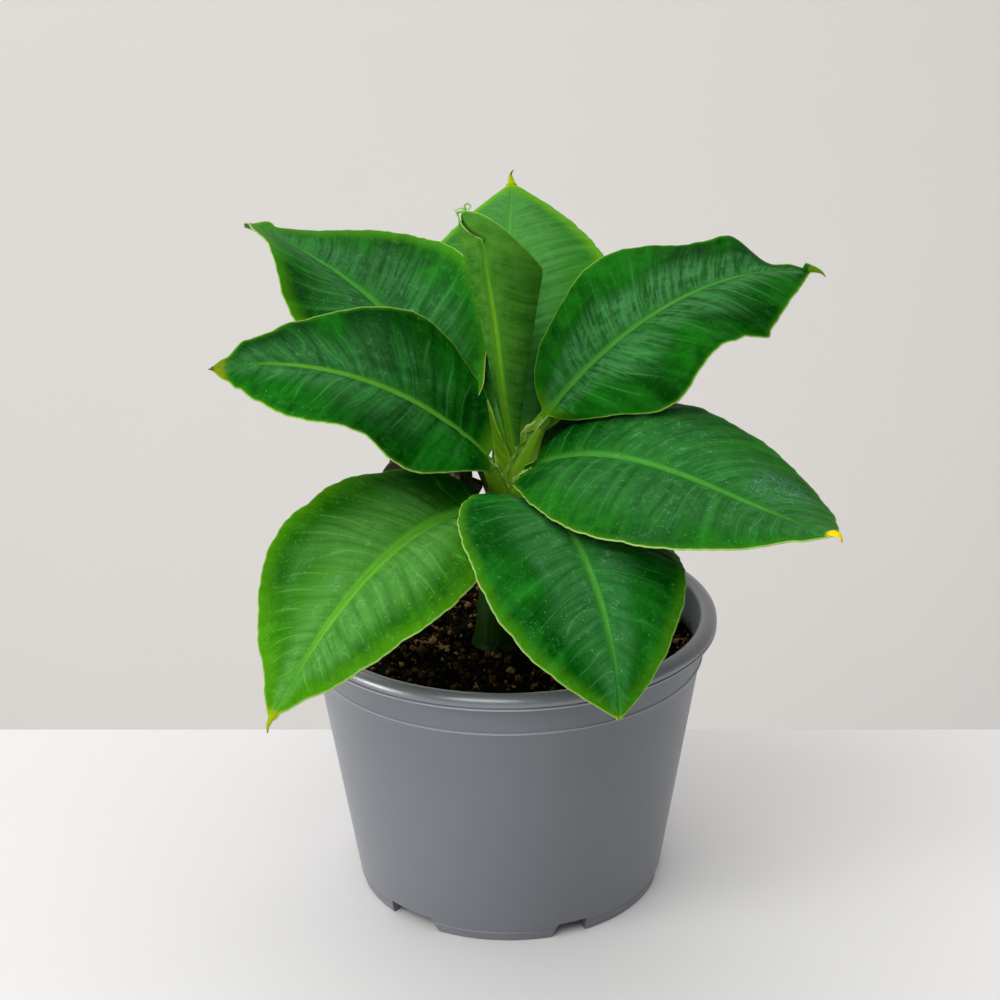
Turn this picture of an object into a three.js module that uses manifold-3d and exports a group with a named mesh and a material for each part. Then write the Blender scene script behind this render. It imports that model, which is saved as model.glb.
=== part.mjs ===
// Young banana plant growing in a grey nursery pot.
// Millimetres, +Z up, -Y is the front. The origin is on the pot's axis, on the surface it stands on.

import * as THREE from 'three';
import { mergeVertices } from 'three/addons/utils/BufferGeometryUtils.js';
import Module from 'manifold-3d';

const wasm = await Module();
wasm.setup();

const GAP = 0.3;
const LEAF_GAP = 0.45;

// Pot
const RIM_RADIUS = 95;
const RIM_TOP_RADIUS = 91;
const POT_TOP = 133;
const RIM_WIDEST_Z = 130;
const RIM_UNDERSIDE_RADIUS = 92;
const RIM_UNDERSIDE_Z = 126.7;
const LIP_RADIUS = 87.4;
const LIP_Z = 131.7;
const BAND_TOP_RADIUS = 89.6;
const BAND_RADIUS = 88.7;
const BAND_Z = 112.8;
const BAND_STEP = 0.9;
const BASE_RADIUS = 70.5;
const BASE_ROUNDING = 1.5;
const WALL = 2.2;
const FLOOR_Z = 5.5;
const FLOOR_THICKNESS = 2.4;
const FOOT_WIDTH = 4;
const HUB_RADIUS = 18;
const POT_SIDES = 72;

// Drain notches in the foot
const NOTCH_COUNT = 6;
const FIRST_NOTCH_ANGLE = 291.5;
const NOTCH_WIDTHS = [17, 27];
const NOTCH_SLANT = 3;
const NOTCH_HEIGHT = 5;

// Potting soil
const SOIL_TOP = 115;
const SOIL_RINGS = 8;
const SOIL_SIDES = 40;
const SOIL_RELIEF = 1.3;
const SOIL_FLAT_RADIUS = 20;

// Pseudostem: it leans a little, and its widths are [height, radius]
const STEM_FOOT = [-4, -1];
const STEM_TIP = [-3, 0];
const STEM_WIDTHS = [
  [115.3, 13.6], [118, 12.4], [124, 11.6], [145, 10.8], [165, 9.6], [182, 8.3], [196, 7], [204, 5.2],
];
const STEM_SIDES = 20;

// Leaves
const LEAF_THICKNESS = 2.3;
const KEEL_AT_BASE = 4.4;
const KEEL_AT_TIP = 2.5;
const PETIOLE_THICKNESS = 3;
const PETIOLE_HALF_WIDTH = 3.4;
const SHEATH_HALF_WIDTH = 4.4;
const SHEATH_LENGTH = 9;
const PETIOLE_FOLD = 40;
const VEIN_LEAN = 0.15;
const VEIN_BEND = 1.3;
const LOBE_LENGTH = 0.3;
const LOBE_WIDTH = 0.35;
const MIDRIB_STEPS = 120;
const PETIOLE_ROWS = [0, 0.35, 0.7];
const BLADE_ROWS = [0.01, 0.035, 0.08, 0.15, 0.24, 0.34, 0.44, 0.54, 0.64, 0.73, 0.81, 0.88, 0.94, 0.985];
const HALF_COLUMNS = [0.22, 0.48, 0.74, 1];

// Each leaf: start is where its midrib leaves the stem, and heading is counted in degrees from
// +X towards +Y. rise, crest and fall are the midrib's slopes at its start, middle and tip.
// A pair holds the left and the right half's value, left being the side of greater heading.
// fold lifts a half at the midrib, curl bends it on towards the margin, and widest is the share
// of the blade's length at which it is widest.
const ORDINARY_LEAF = {
  turn: 0, petiole: 16, blade: 160, roll: 0, rollTip: 0, width: [48, 48], fold: [28, 28],
  foldTip: [9, 9], curl: [-35, -35], widest: 0.42, blunt: 2, point: [2, 2], lobe: [4, 4],
  waves: 1.6, wave: [0, 0], phase: [0, 0],
};

const LEAVES = {
  leaf_upper_right: {
    start: [3.4, 2.6, 203], heading: 17.5, turn: 4, rise: 54, crest: 29, fall: -13, petiole: 25,
    blade: 145, width: [51, 52], fold: [15, 12], foldTip: [16, 14], curl: [-2, -56], widest: 0.39,
    blunt: 1.7, point: [2.4, 2.4], lobe: [0, 0], waves: 2.07, wave: [-2.7, 6], phase: [-0.2, 0.22],
  },
  leaf_mid_left: {
    start: [0.6, -7, 193.7], heading: 187, turn: -1, rise: 56, crest: 26, fall: -8, petiole: 16,
    blade: 132, roll: 1, rollTip: 12, width: [51, 50], fold: [27, 28], foldTip: [7, 9],
    curl: [-53, 5], widest: 0.34, point: [2.1, 1.8], lobe: [2, 3], waves: 1.66, wave: [-6, -3.4],
    phase: [-0.2, 0.07],
  },
  leaf_upper_left: {
    start: [-10.5, 5.5, 194], heading: 132, turn: 7, rise: 68, crest: 25, fall: 12, petiole: 30,
    blade: 162, roll: 30, rollTip: -33, width: [47.5, 44.5], fold: [28, 34], foldTip: [16, 16],
    curl: [-26, 10], widest: 0.43, blunt: 1.7, point: [1.8, 1.95], waves: 2.15, wave: [6, -2],
    phase: [-0.22, 0.14],
  },
  leaf_right: {
    start: [2.1, -3.6, 193.5], heading: 323, turn: -12, rise: 46, crest: -2, fall: 6.5, petiole: 16,
    blade: 163, roll: -21, rollTip: 1, width: [54, 56], fold: [27, 25], foldTip: [2, 3],
    curl: [-43, -26], widest: 0.44, blunt: 1.8, point: [2.6, 2.6], lobe: [4, 5], waves: 1,
    wave: [1.3, 3.2], phase: [0.12, 0.33],
  },
  leaf_back: {
    start: [-2.4, 7.9, 195], heading: 87, turn: 1, rise: 76, crest: 26, fall: 9, petiole: 17,
    blade: 181, roll: 1, rollTip: 1, width: [52, 52], fold: [21, 21], foldTip: [9, 9],
    curl: [-57, -41], widest: 0.41, blunt: 2.1, waves: 1.77, wave: [-2.7, -1.1],
    phase: [0.08, 0.02],
  },
  leaf_back_right: {
    start: [2, 6, 187], heading: 58, rise: 44, crest: 10, fall: -34, petiole: 18, blade: 152,
    width: [45, 45], wave: [1.5, 1.5], phase: [0.1, 0.4],
  },
  leaf_lower_front: {
    start: [0, -7.2, 185], heading: 288, turn: -1, rise: 26, crest: -9.5, fall: -85, petiole: 25,
    blade: 148, roll: 14, rollTip: -15, width: [45, 47], fold: [14, 16], foldTip: [15, 14],
    curl: [-50, -25], widest: 0.44, blunt: 1.7, point: [2.1, 2.6], waves: 1.66, wave: [2, -1.6],
    phase: [0.14, -0.11],
  },
  leaf_lower_left: {
    start: [-1.4, -6.3, 177.6], heading: 232, rise: 33, crest: -18, fall: -42, petiole: 10,
    blade: 160, roll: 6, rollTip: -3, width: [47, 47], fold: [29, 32], foldTip: [9, 8],
    curl: [-34, -12], widest: 0.45, blunt: 2.1, point: [1.85, 2], lobe: [4, 5], waves: 1.44,
    wave: [1.3, -4.7], phase: [-0.03, -0.02],
  },
  dry_leaf: {
    start: [-11, 2, 186], heading: 172, turn: 6, rise: 30, crest: 8, fall: -60, petiole: 10,
    blade: 42, width: [9, 10], fold: [40, 30], foldTip: [50, 40], curl: [30, 45], point: [1.6, 1.6],
    lobe: [0, 0], waves: 2.5, wave: [2.5, 3], phase: [0.2, 0.6],
  },
};

// New leaf, still rolled into a cone around its own axis
const ROLL_FOOT = [0.5, -1, 204.3];
const ROLL_TIP = [-2, 0, 320];
const ROLL_FOOT_RADIUS = 4.4;
const ROLL_TIP_RADIUS = 22.8;
const ROLL_SWELL = 1.25;
const ROLL_HEADING = 233;
const ROLL_BLADE = { width: [57, 57], widest: 0.4, blunt: 2, point: [2.3, 6] };
const ROLL_MOST_ANGLE = [175, 150];
const ROLL_TUCK = [0, 0.18];
const ROLL_ROWS = [0, 0.08, 0.18, 0.3, 0.42, 0.54, 0.66, 0.76, 0.84, 0.9, 0.95, 0.985];
const ROLL_COLUMNS = 6;

const COLORS = {
  pot: '#74777b', potting_soil: '#3a261a', pseudostem: '#5f7d2c', leaf_center: '#5aa13a',
  leaf_back: '#57a03f', dry_leaf: '#3c2c1c', leaf: '#2c7a34',
};
const ROUGHNESS = { pot: 0.5, potting_soil: 0.95, dry_leaf: 0.8, leaf: 0.42 };

const radians = THREE.MathUtils.degToRad;
const mix = THREE.MathUtils.lerp;
const clamp = THREE.MathUtils.clamp;
const SIDES = { left: 0, right: 1 };

function geometryOf(points, faces) {
  const geometry = new THREE.BufferGeometry();
  const numbers = points.flatMap((point) => [point.x, point.y, point.z]);
  geometry.setAttribute('position', new THREE.Float32BufferAttribute(numbers, 3));
  geometry.setIndex(faces);
  return geometry;
}

function solidOf(geometry) {
  const bare = geometry.clone();
  bare.deleteAttribute('normal');
  bare.deleteAttribute('uv');
  const merged = mergeVertices(bare, 1e-4);
  const mesh = new wasm.Mesh({
    numProp: 3,
    vertProperties: merged.attributes.position.array,
    triVerts: Uint32Array.from(merged.index.array),
  });
  return new wasm.Manifold(mesh);
}

function geometryOfSolid(solid) {
  const mesh = solid.getMesh();
  const geometry = new THREE.BufferGeometry();
  geometry.setAttribute('position', new THREE.BufferAttribute(mesh.vertProperties, 3));
  geometry.setIndex(new THREE.BufferAttribute(mesh.triVerts, 1));
  return geometry;
}

function named(name, solid) {
  const material = new THREE.MeshStandardMaterial({
    color: COLORS[name] ?? COLORS.leaf,
    roughness: ROUGHNESS[name] ?? ROUGHNESS.leaf,
    metalness: 0,
  });
  const mesh = new THREE.Mesh(geometryOfSolid(solid), material);
  mesh.name = name;
  return mesh;
}

// A closed solid between two grids of points: every row runs from the right margin to the left.
function solidBetween(top, bottom) {
  const rows = top.length;
  const columns = top[0].length;
  const points = [...top.flat(), ...bottom.flat()];
  const upper = (row, column) => row * columns + column;
  const lower = (row, column) => (rows + row) * columns + column;
  const faces = [];
  const quad = (a, b, c, d) => faces.push(a, b, c, a, c, d);
  for (let i = 0; i < rows - 1; i += 1) {
    for (let j = 0; j < columns - 1; j += 1) {
      quad(upper(i, j), upper(i + 1, j), upper(i + 1, j + 1), upper(i, j + 1));
      quad(lower(i, j), lower(i, j + 1), lower(i + 1, j + 1), lower(i + 1, j));
    }
    const last = columns - 1;
    quad(upper(i, 0), lower(i, 0), lower(i + 1, 0), upper(i + 1, 0));
    quad(upper(i, last), upper(i + 1, last), lower(i + 1, last), lower(i, last));
  }
  for (let j = 0; j < columns - 1; j += 1) {
    const end = rows - 1;
    quad(upper(0, j), upper(0, j + 1), lower(0, j + 1), lower(0, j));
    quad(upper(end, j), lower(end, j), lower(end, j + 1), upper(end, j + 1));
  }
  return geometryOf(points, faces);
}

// Half the blade's width at a share of its length.
function halfWidth(leaf, half, share) {
  const { widest, blunt } = leaf;
  const x = clamp(share, 0, 1);
  if (x < widest) {
    return leaf.width[half] * (1 - ((widest - x) / widest) ** blunt) ** (1 / blunt);
  }
  return leaf.width[half] * (1 - ((x - widest) / (1 - widest)) ** leaf.point[half]);
}

function slopeAt(leaf, share) {
  const start = leaf.rise * (1 - share) * (1 - 2 * share);
  const middle = 4 * leaf.crest * share * (1 - share);
  return radians(start + middle + leaf.fall * share * (2 * share - 1));
}

function directionAt(leaf, share) {
  const heading = radians(leaf.heading + leaf.turn * share);
  const slope = slopeAt(leaf, share);
  const level = Math.cos(slope);
  return {
    along: new THREE.Vector3(level * Math.cos(heading), level * Math.sin(heading), Math.sin(slope)),
    side: new THREE.Vector3(Math.sin(heading), -Math.cos(heading), 0),
  };
}

// The midrib as evenly spaced places, each with its direction and its level side.
function midribOf(leaf) {
  const step = (leaf.petiole + leaf.blade) / MIDRIB_STEPS;
  const places = [{ point: new THREE.Vector3(...leaf.start), ...directionAt(leaf, 0) }];
  for (let k = 1; k <= MIDRIB_STEPS; k += 1) {
    const last = places[k - 1];
    const next = directionAt(leaf, k / MIDRIB_STEPS);
    const mean = last.along.clone().add(next.along).multiplyScalar(step / 2);
    places.push({ point: last.point.clone().add(mean), ...next });
  }
  return { step, places };
}

// Where the midrib is at a distance from its start, and its frame there; before the start it
// runs straight on into the stem.
function frameAt(midrib, distance) {
  const position = clamp(distance / midrib.step, 0, MIDRIB_STEPS - 1e-6);
  const index = Math.floor(position);
  const [from, to] = [midrib.places[index], midrib.places[index + 1]];
  const part = position - index;
  const point = from.point.clone().lerp(to.point, part);
  const along = from.along.clone().lerp(to.along, part).normalize();
  const side = from.side.clone().lerp(to.side, part).normalize();
  point.addScaledVector(along, Math.min(distance, 0));
  return { point, along, side, up: side.clone().cross(along) };
}

// The cross-section of one half: its point and its outward direction at a share of the width.
function sectionPoint(frame, half, section, share) {
  const sign = half === SIDES.right ? 1 : -1;
  const roll = radians(section.roll);
  const side = frame.side.clone().multiplyScalar(Math.cos(roll)).addScaledVector(frame.up, Math.sin(roll));
  const up = frame.up.clone().multiplyScalar(Math.cos(roll)).addScaledVector(frame.side, -Math.sin(roll));
  const fold = radians(section.fold);
  const curl = Math.abs(section.curl) < 0.01 ? 1e-4 : radians(section.curl);
  const angle = fold + curl * share;
  const across = (section.width * (Math.sin(angle) - Math.sin(fold))) / curl;
  const lift = (section.width * (Math.cos(fold) - Math.cos(angle))) / curl + section.wave * share ** 2;
  const point = frame.point.clone().addScaledVector(side, sign * across).addScaledVector(up, lift);
  const outward = up.clone().multiplyScalar(Math.cos(angle)).addScaledVector(side, -sign * Math.sin(angle));
  return { point, outward };
}

// The bands of the blade follow its veins, which leave the midrib leaning to the tip.
function bladePoint(leaf, midrib, half, row, share, spare) {
  const margin = Math.min(1, row + VEIN_LEAN * Math.sin(Math.PI * row));
  const ownWidth = halfWidth(leaf, half, margin);
  const width = Math.max(ownWidth, PETIOLE_HALF_WIDTH) + spare;
  const fade = clamp(1 - margin / LOBE_LENGTH, 0, 1) ** 2;
  const lobe = leaf.lobe[half] * fade * clamp(ownWidth / leaf.width[half] / LOBE_WIDTH, 0, 1);
  const reach = mix(leaf.blade * row, leaf.blade * margin - lobe, share ** VEIN_BEND);
  const x = reach / leaf.blade;
  const frame = frameAt(midrib, leaf.petiole + reach);
  const ripple = Math.sin(2 * Math.PI * (leaf.waves * x + leaf.phase[half]));
  const section = {
    width,
    roll: mix(leaf.roll, leaf.rollTip, x),
    fold: mix(leaf.fold[half], leaf.foldTip[half], x),
    curl: leaf.curl[half],
    wave: leaf.wave[half] * ripple * (ownWidth / leaf.width[half]) ** 2,
  };
  return sectionPoint(frame, half, section, share);
}

function petiolePoint(leaf, midrib, half, distance, share, spare) {
  const x = clamp(distance / leaf.petiole, 0, 1);
  const section = {
    width: mix(SHEATH_HALF_WIDTH, PETIOLE_HALF_WIDTH, x) + spare,
    roll: leaf.roll,
    fold: mix(PETIOLE_FOLD, leaf.fold[half], x),
    curl: 0,
    wave: 0,
  };
  return sectionPoint(frameAt(midrib, distance), half, section, share);
}

// Blade, midrib and petiole in one solid. spare swells it on all sides.
function leafSolid(leaf, spare = 0) {
  const midrib = midribOf(leaf);
  const rightToLeft = [
    ...[...HALF_COLUMNS].reverse().map((share) => [SIDES.right, share]),
    [SIDES.right, 0],
    ...HALF_COLUMNS.map((share) => [SIDES.left, share]),
  ];
  const petioleRows = [-SHEATH_LENGTH - spare, ...PETIOLE_ROWS.map((row) => row * leaf.petiole)];
  const rows = [
    ...petioleRows.map((distance) => ({
      thickness: PETIOLE_THICKNESS,
      keel: KEEL_AT_BASE,
      at: (half, share) => petiolePoint(leaf, midrib, half, distance, share, spare),
    })),
    ...BLADE_ROWS.map((row) => ({
      thickness: LEAF_THICKNESS,
      keel: mix(KEEL_AT_BASE, KEEL_AT_TIP, row),
      at: (half, share) => bladePoint(leaf, midrib, half, row, share, spare),
    })),
  ];
  const top = [];
  const bottom = [];
  for (const row of rows) {
    const places = rightToLeft.map(([half, share]) => ({ share, ...row.at(half, share) }));
    const middle = places[HALF_COLUMNS.length];
    middle.outward.add(row.at(SIDES.left, 0).outward).normalize();
    top.push(places.map(({ point, outward }) => point.clone().addScaledVector(outward, spare)));
    bottom.push(places.map(({ point, outward, share }) => {
      const depth = share === 0 ? row.keel : row.thickness;
      return point.clone().addScaledVector(outward, -depth - spare);
    }));
  }
  return solidOf(solidBetween(top, bottom));
}

// The new leaf: a wide sheet rolled round an axis, open at the back and cut slanting at the top
// by its own outline.
function rolledLeafSolid(spare = 0) {
  const foot = new THREE.Vector3(...ROLL_FOOT);
  const tip = new THREE.Vector3(...ROLL_TIP);
  const columns = [];
  for (let k = -ROLL_COLUMNS; k <= ROLL_COLUMNS; k += 1) {
    columns.push([k < 0 ? SIDES.right : SIDES.left, Math.abs(k) / ROLL_COLUMNS]);
  }
  const top = [];
  const bottom = [];
  for (const row of ROLL_ROWS) {
    const centre = foot.clone().lerp(tip, row);
    centre.z += row === 0 ? -spare : 0;
    const radius = ROLL_FOOT_RADIUS + (ROLL_TIP_RADIUS - ROLL_FOOT_RADIUS) * row ** ROLL_SWELL;
    const pointAt = ([half, share], inset) => {
      const open = halfWidth(ROLL_BLADE, half, row) / radius;
      const most = radians(ROLL_MOST_ANGLE[half]);
      const turned = share * (row < ROLL_BLADE.widest ? most : Math.min(most, open));
      const angle = radians(ROLL_HEADING) + (half === SIDES.left ? turned : -turned);
      const reach = radius * (1 - ROLL_TUCK[half] * (turned / Math.PI)) - inset;
      const outward = new THREE.Vector3(Math.cos(angle), Math.sin(angle), 0);
      return centre.clone().addScaledVector(outward, reach);
    };
    top.push(columns.map((column) => pointAt(column, LEAF_THICKNESS + spare)));
    bottom.push(columns.map((column) => pointAt(column, -spare)));
  }
  return solidOf(solidBetween(top, bottom));
}

// The pseudostem: rings round a leaning axis, with a flat cut at the soil and a blunt top.
function stemSolid(spare = 0) {
  const [bottomZ] = STEM_WIDTHS[0];
  const [topZ] = STEM_WIDTHS[STEM_WIDTHS.length - 1];
  const points = [];
  for (const [z, radius] of STEM_WIDTHS) {
    const share = (z - bottomZ) / (topZ - bottomZ);
    const x = mix(STEM_FOOT[0], STEM_TIP[0], share);
    const y = mix(STEM_FOOT[1], STEM_TIP[1], share);
    const height = z + (z === bottomZ ? -spare : 0) + (z === topZ ? spare : 0);
    for (let k = 0; k < STEM_SIDES; k += 1) {
      const angle = (2 * Math.PI * k) / STEM_SIDES;
      const reach = radius + spare;
      points.push(new THREE.Vector3(x + reach * Math.cos(angle), y + reach * Math.sin(angle), height));
    }
  }
  points.push(new THREE.Vector3(STEM_FOOT[0], STEM_FOOT[1], bottomZ - spare));
  points.push(new THREE.Vector3(STEM_TIP[0], STEM_TIP[1], topZ + spare));
  const footCentre = points.length - 2;
  const topCentre = points.length - 1;
  const faces = [];
  const last = (STEM_WIDTHS.length - 1) * STEM_SIDES;
  for (let k = 0; k < STEM_SIDES; k += 1) {
    const next = (k + 1) % STEM_SIDES;
    for (let row = 0; row < STEM_WIDTHS.length - 1; row += 1) {
      const low = row * STEM_SIDES;
      const high = low + STEM_SIDES;
      faces.push(low + k, low + next, high + next, low + k, high + next, high + k);
    }
    faces.push(footCentre, next, k, topCentre, last + k, last + next);
  }
  return solidOf(geometryOf(points, faces));
}

// The pot's section: from the flat hub on the axis out along the raised floor to the foot, up
// the outside to the rolled rim, and down the inside.
function potProfile() {
  const wallRadius = (z) => mix(BASE_RADIUS, BAND_RADIUS - BAND_STEP, z / BAND_Z);
  const insideFloorZ = FLOOR_Z + FLOOR_THICKNESS;
  return [
    [0, 0],
    [HUB_RADIUS, 0],
    [HUB_RADIUS + 1, FLOOR_Z],
    [BASE_RADIUS - FOOT_WIDTH, FLOOR_Z],
    [BASE_RADIUS - FOOT_WIDTH, 0],
    [BASE_RADIUS - BASE_ROUNDING, 0],
    [wallRadius(BASE_ROUNDING), BASE_ROUNDING],
    [wallRadius(BAND_Z), BAND_Z],
    [BAND_RADIUS, BAND_Z + BAND_STEP / 2],
    [BAND_TOP_RADIUS, RIM_UNDERSIDE_Z],
    [RIM_UNDERSIDE_RADIUS, RIM_UNDERSIDE_Z],
    [RIM_RADIUS - 1, (RIM_UNDERSIDE_Z + RIM_WIDEST_Z) / 2],
    [RIM_RADIUS, RIM_WIDEST_Z],
    [RIM_RADIUS - 1.2, POT_TOP - 0.8],
    [RIM_TOP_RADIUS, POT_TOP],
    [LIP_RADIUS + 1, LIP_Z + 0.7],
    [LIP_RADIUS, LIP_Z - 1],
    [wallRadius(BAND_Z) - WALL, BAND_Z],
    [wallRadius(insideFloorZ) - WALL, insideFloorZ],
    [0, insideFloorZ],
  ];
}

// A wedge-sided block that cuts one drain notch out of the foot.
function notchSolid(angle, width) {
  const outline = new THREE.Shape([
    new THREE.Vector2(-width / 2, -1),
    new THREE.Vector2(width / 2, -1),
    new THREE.Vector2(width / 2, 0),
    new THREE.Vector2(width / 2 - NOTCH_SLANT, NOTCH_HEIGHT),
    new THREE.Vector2(-width / 2 + NOTCH_SLANT, NOTCH_HEIGHT),
    new THREE.Vector2(-width / 2, 0),
  ]);
  const inner = BASE_RADIUS - 2 * FOOT_WIDTH;
  const depth = 4 * FOOT_WIDTH;
  const block = new THREE.ExtrudeGeometry(outline, { depth, bevelEnabled: false });
  block.translate(0, 0, inner);
  block.rotateX(Math.PI / 2);
  block.rotateZ(radians(angle + 90));
  return solidOf(block);
}

function potSolid() {
  const profile = potProfile().map(([radius, z]) => new THREE.Vector2(radius, z));
  const body = new THREE.LatheGeometry(profile, POT_SIDES);
  body.rotateX(Math.PI / 2);
  let pot = solidOf(body);
  for (let k = 0; k < NOTCH_COUNT; k += 1) {
    const width = NOTCH_WIDTHS[k % NOTCH_WIDTHS.length];
    pot = pot.subtract(notchSolid(FIRST_NOTCH_ANGLE + (360 * k) / NOTCH_COUNT, width));
  }
  return pot;
}

// The soil fills the pot and has a lumpy top, level only where the stem stands.
function soilSolid() {
  const inside = (z) => mix(BASE_RADIUS, BAND_RADIUS - BAND_STEP, z / BAND_Z) - WALL - GAP * 2;
  const bottomZ = FLOOR_Z + FLOOR_THICKNESS + GAP;
  const topRadius = inside(Math.min(SOIL_TOP, BAND_Z)) - SOIL_RELIEF * 0.2;
  const points = [new THREE.Vector3(0, 0, SOIL_TOP)];
  for (let ring = 1; ring <= SOIL_RINGS; ring += 1) {
    const radius = (topRadius * ring) / SOIL_RINGS;
    for (let k = 0; k < SOIL_SIDES; k += 1) {
      const angle = (2 * Math.PI * k) / SOIL_SIDES;
      const [x, y] = [radius * Math.cos(angle), radius * Math.sin(angle)];
      const lumps = Math.sin(x / 7.5 + y / 11) * Math.cos(y / 6.5 - x / 13);
      const rise = clamp((radius - SOIL_FLAT_RADIUS) / SOIL_FLAT_RADIUS, 0, 1);
      points.push(new THREE.Vector3(x, y, SOIL_TOP + SOIL_RELIEF * rise * (lumps - 0.4)));
    }
  }
  for (let k = 0; k < SOIL_SIDES; k += 1) {
    const angle = (2 * Math.PI * k) / SOIL_SIDES;
    const radius = inside(bottomZ);
    points.push(new THREE.Vector3(radius * Math.cos(angle), radius * Math.sin(angle), bottomZ));
  }
  points.push(new THREE.Vector3(0, 0, bottomZ));
  const at = (ring, k) => 1 + (ring - 1) * SOIL_SIDES + (k % SOIL_SIDES);
  const faces = [];
  for (let k = 0; k < SOIL_SIDES; k += 1) {
    faces.push(0, at(1, k), at(1, k + 1));
    for (let ring = 1; ring <= SOIL_RINGS; ring += 1) {
      faces.push(at(ring, k), at(ring + 1, k), at(ring + 1, k + 1));
      faces.push(at(ring, k), at(ring + 1, k + 1), at(ring, k + 1));
    }
    faces.push(points.length - 1, at(SOIL_RINGS + 1, k + 1), at(SOIL_RINGS + 1, k));
  }
  return solidOf(geometryOf(points, faces));
}

// What is left in one piece after its neighbours are cut clear of it.
function largestPiece(solid) {
  const pieces = solid.decompose();
  return pieces.reduce((best, piece) => (piece.volume() > best.volume() ? piece : best));
}

function buildCrown() {
  const stem = stemSolid();
  const crown = { pseudostem: stem, leaf_center: rolledLeafSolid() };
  const taken = [stemSolid(GAP), rolledLeafSolid(LEAF_GAP)];
  for (const [name, own] of Object.entries(LEAVES)) {
    const leaf = { ...ORDINARY_LEAF, ...own };
    let solid = leafSolid(leaf);
    for (const neighbour of taken) {
      solid = solid.subtract(neighbour);
    }
    crown[name] = largestPiece(solid);
    taken.push(leafSolid(leaf, LEAF_GAP));
  }
  return crown;
}

const plant = new THREE.Group();
plant.add(named('pot', potSolid()));
plant.add(named('potting_soil', soilSolid()));
for (const [name, solid] of Object.entries(buildCrown())) {
  plant.add(named(name, solid));
}

export default plant;
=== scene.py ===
"""A young banana plant in a grey nursery pot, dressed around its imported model.

Shapes are written in millimetres, +Z up, -Y to the front, with the origin on the pot's axis on the
floor. mesh_piece() turns them into metres.
"""

import math
from types import SimpleNamespace

import bmesh
import bpy
import numpy as np
from mathutils import Matrix, Vector
from mathutils.kdtree import KDTree

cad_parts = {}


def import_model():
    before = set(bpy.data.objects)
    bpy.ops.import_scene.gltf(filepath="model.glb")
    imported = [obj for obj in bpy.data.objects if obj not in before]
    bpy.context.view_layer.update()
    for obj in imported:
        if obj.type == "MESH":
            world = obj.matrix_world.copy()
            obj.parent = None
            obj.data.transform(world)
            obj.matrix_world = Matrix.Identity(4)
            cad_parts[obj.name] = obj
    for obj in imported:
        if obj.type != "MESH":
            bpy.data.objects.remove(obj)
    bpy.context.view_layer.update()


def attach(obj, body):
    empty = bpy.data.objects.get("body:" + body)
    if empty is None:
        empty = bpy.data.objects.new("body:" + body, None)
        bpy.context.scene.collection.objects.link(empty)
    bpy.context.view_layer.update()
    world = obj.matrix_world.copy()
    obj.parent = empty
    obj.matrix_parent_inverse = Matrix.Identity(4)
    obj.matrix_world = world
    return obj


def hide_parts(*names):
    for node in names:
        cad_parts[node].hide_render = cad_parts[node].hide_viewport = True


MM = 0.001
LEFT, RIGHT = 0, 1

# Camera: where it stands, how far it tips down and leans, and where the table's far edge shows
CAMERA_AT = (-3.04, -869.6, 518.2)
CAMERA_PITCH = 21.0
CAMERA_LEAN = -0.6
CAMERA_LENS = 50.0
CAMERA_SENSOR = 24.0
PICTURE_SIDE = 1000
TABLE_EDGE_ROW = 729.5

# Stage: the table reaches past the picture on both sides, and the wall stands behind it
TABLE_SPARE = 2500.0
TABLE_DEPTH = 3500.0
TABLE_COLOUR = (0.8, 0.79, 0.79)
WALL_Y = 1700.0
WALL_REACH = 4000.0
WALL_SPAN_Z = (-2500.0, 2600.0)
WALL_COLOUR = (0.675, 0.65, 0.622)
ROOM_COLOUR = (0.95, 0.97, 1.0)
ROOM_STRENGTH = 0.23
# Soft lights: place and target in metres, width, height, power in watts, colour
LIGHTS = (
    ("overhead", (0.2, -0.2, 3.2), (0, 0, 0), 5.0, 5.0, 71.0),
    ("key", (-1.5, -2.6, 3.0), (0, 0, 0.12), 4.2, 1.6, 86.0, (1.0, 0.99, 0.97)),
    ("left", (-6.5, -2.1, 0.8), (0, 0, 0.1), 2.6, 2.2, 250.0),
    ("back_panel", (-0.5, 1.1, 2.4), (0, 0, 0.1), 2.8, 0.9, 12.0),
    ("wall_wash", (0.1, 0.45, -0.65), (0.1, 1.7, -0.65), 2.6, 1.7, 11.0),
)

# Pot
RIM_RADIUS = 95.0
RIM_TOP_RADIUS = 91.0
POT_TOP = 133.0
RIM_ROLL = 4.1
RIM_UNDERSIDE_Z = 126.7
LIP_RADIUS = 87.4
LIP_Z = 131.7
BAND_TOP_RADIUS = 90.6
BAND_RADIUS = 88.7
BAND_Z = 112.8
BAND_STEP = 0.6
BASE_RADIUS = 70.5
BASE_ROUNDING = 1.5
FOOT_LINE_Z = 4.9
WALL = 2.2
FLOOR_Z = 7.3
FLOOR_THICKNESS = 2.4
FOOT_WIDTH = 4.0
HUB_RADIUS = 18.0
POT_SIDES = 288
POT_SHARP_EDGE = 42
NOTCH_COUNT = 6
FIRST_NOTCH_ANGLE = 291.5
NOTCH_WIDTHS = (17.0, 27.0)
NOTCH_SLANT = 3.2
NOTCH_HEIGHT = 7.0
# How far small edges are eased, and half the height of the painted highlight along a moulding line
EASE = 0.3
MOULDING_LINE = 0.34
POT_LOW = (0.137, 0.145, 0.165)
POT_HIGH = (0.157, 0.166, 0.188)
# Finishes of the wall, the rim and the moulding lines: roughness, shine, and how much brighter
# than the wall; the moulding lines' brighter colour is a painted highlight
POT_FINISHES = (
    ("pot_plastic", 0.25, 0.5),
    ("pot_rim", 0.22, 1.3),
    ("pot_moulding_line_painted_highlight", 0.3, 0.5, 2.2),
)

# Potting soil
SOIL_TOP = 115.0
SOIL_RELIEF = 1.3
SOIL_FLAT_RADIUS = 20.0
SOIL_RADIUS = 85.2
SOIL_SKIRT = 9.0
SOIL_RINGS = 64
SOIL_SIDES = 200
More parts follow.
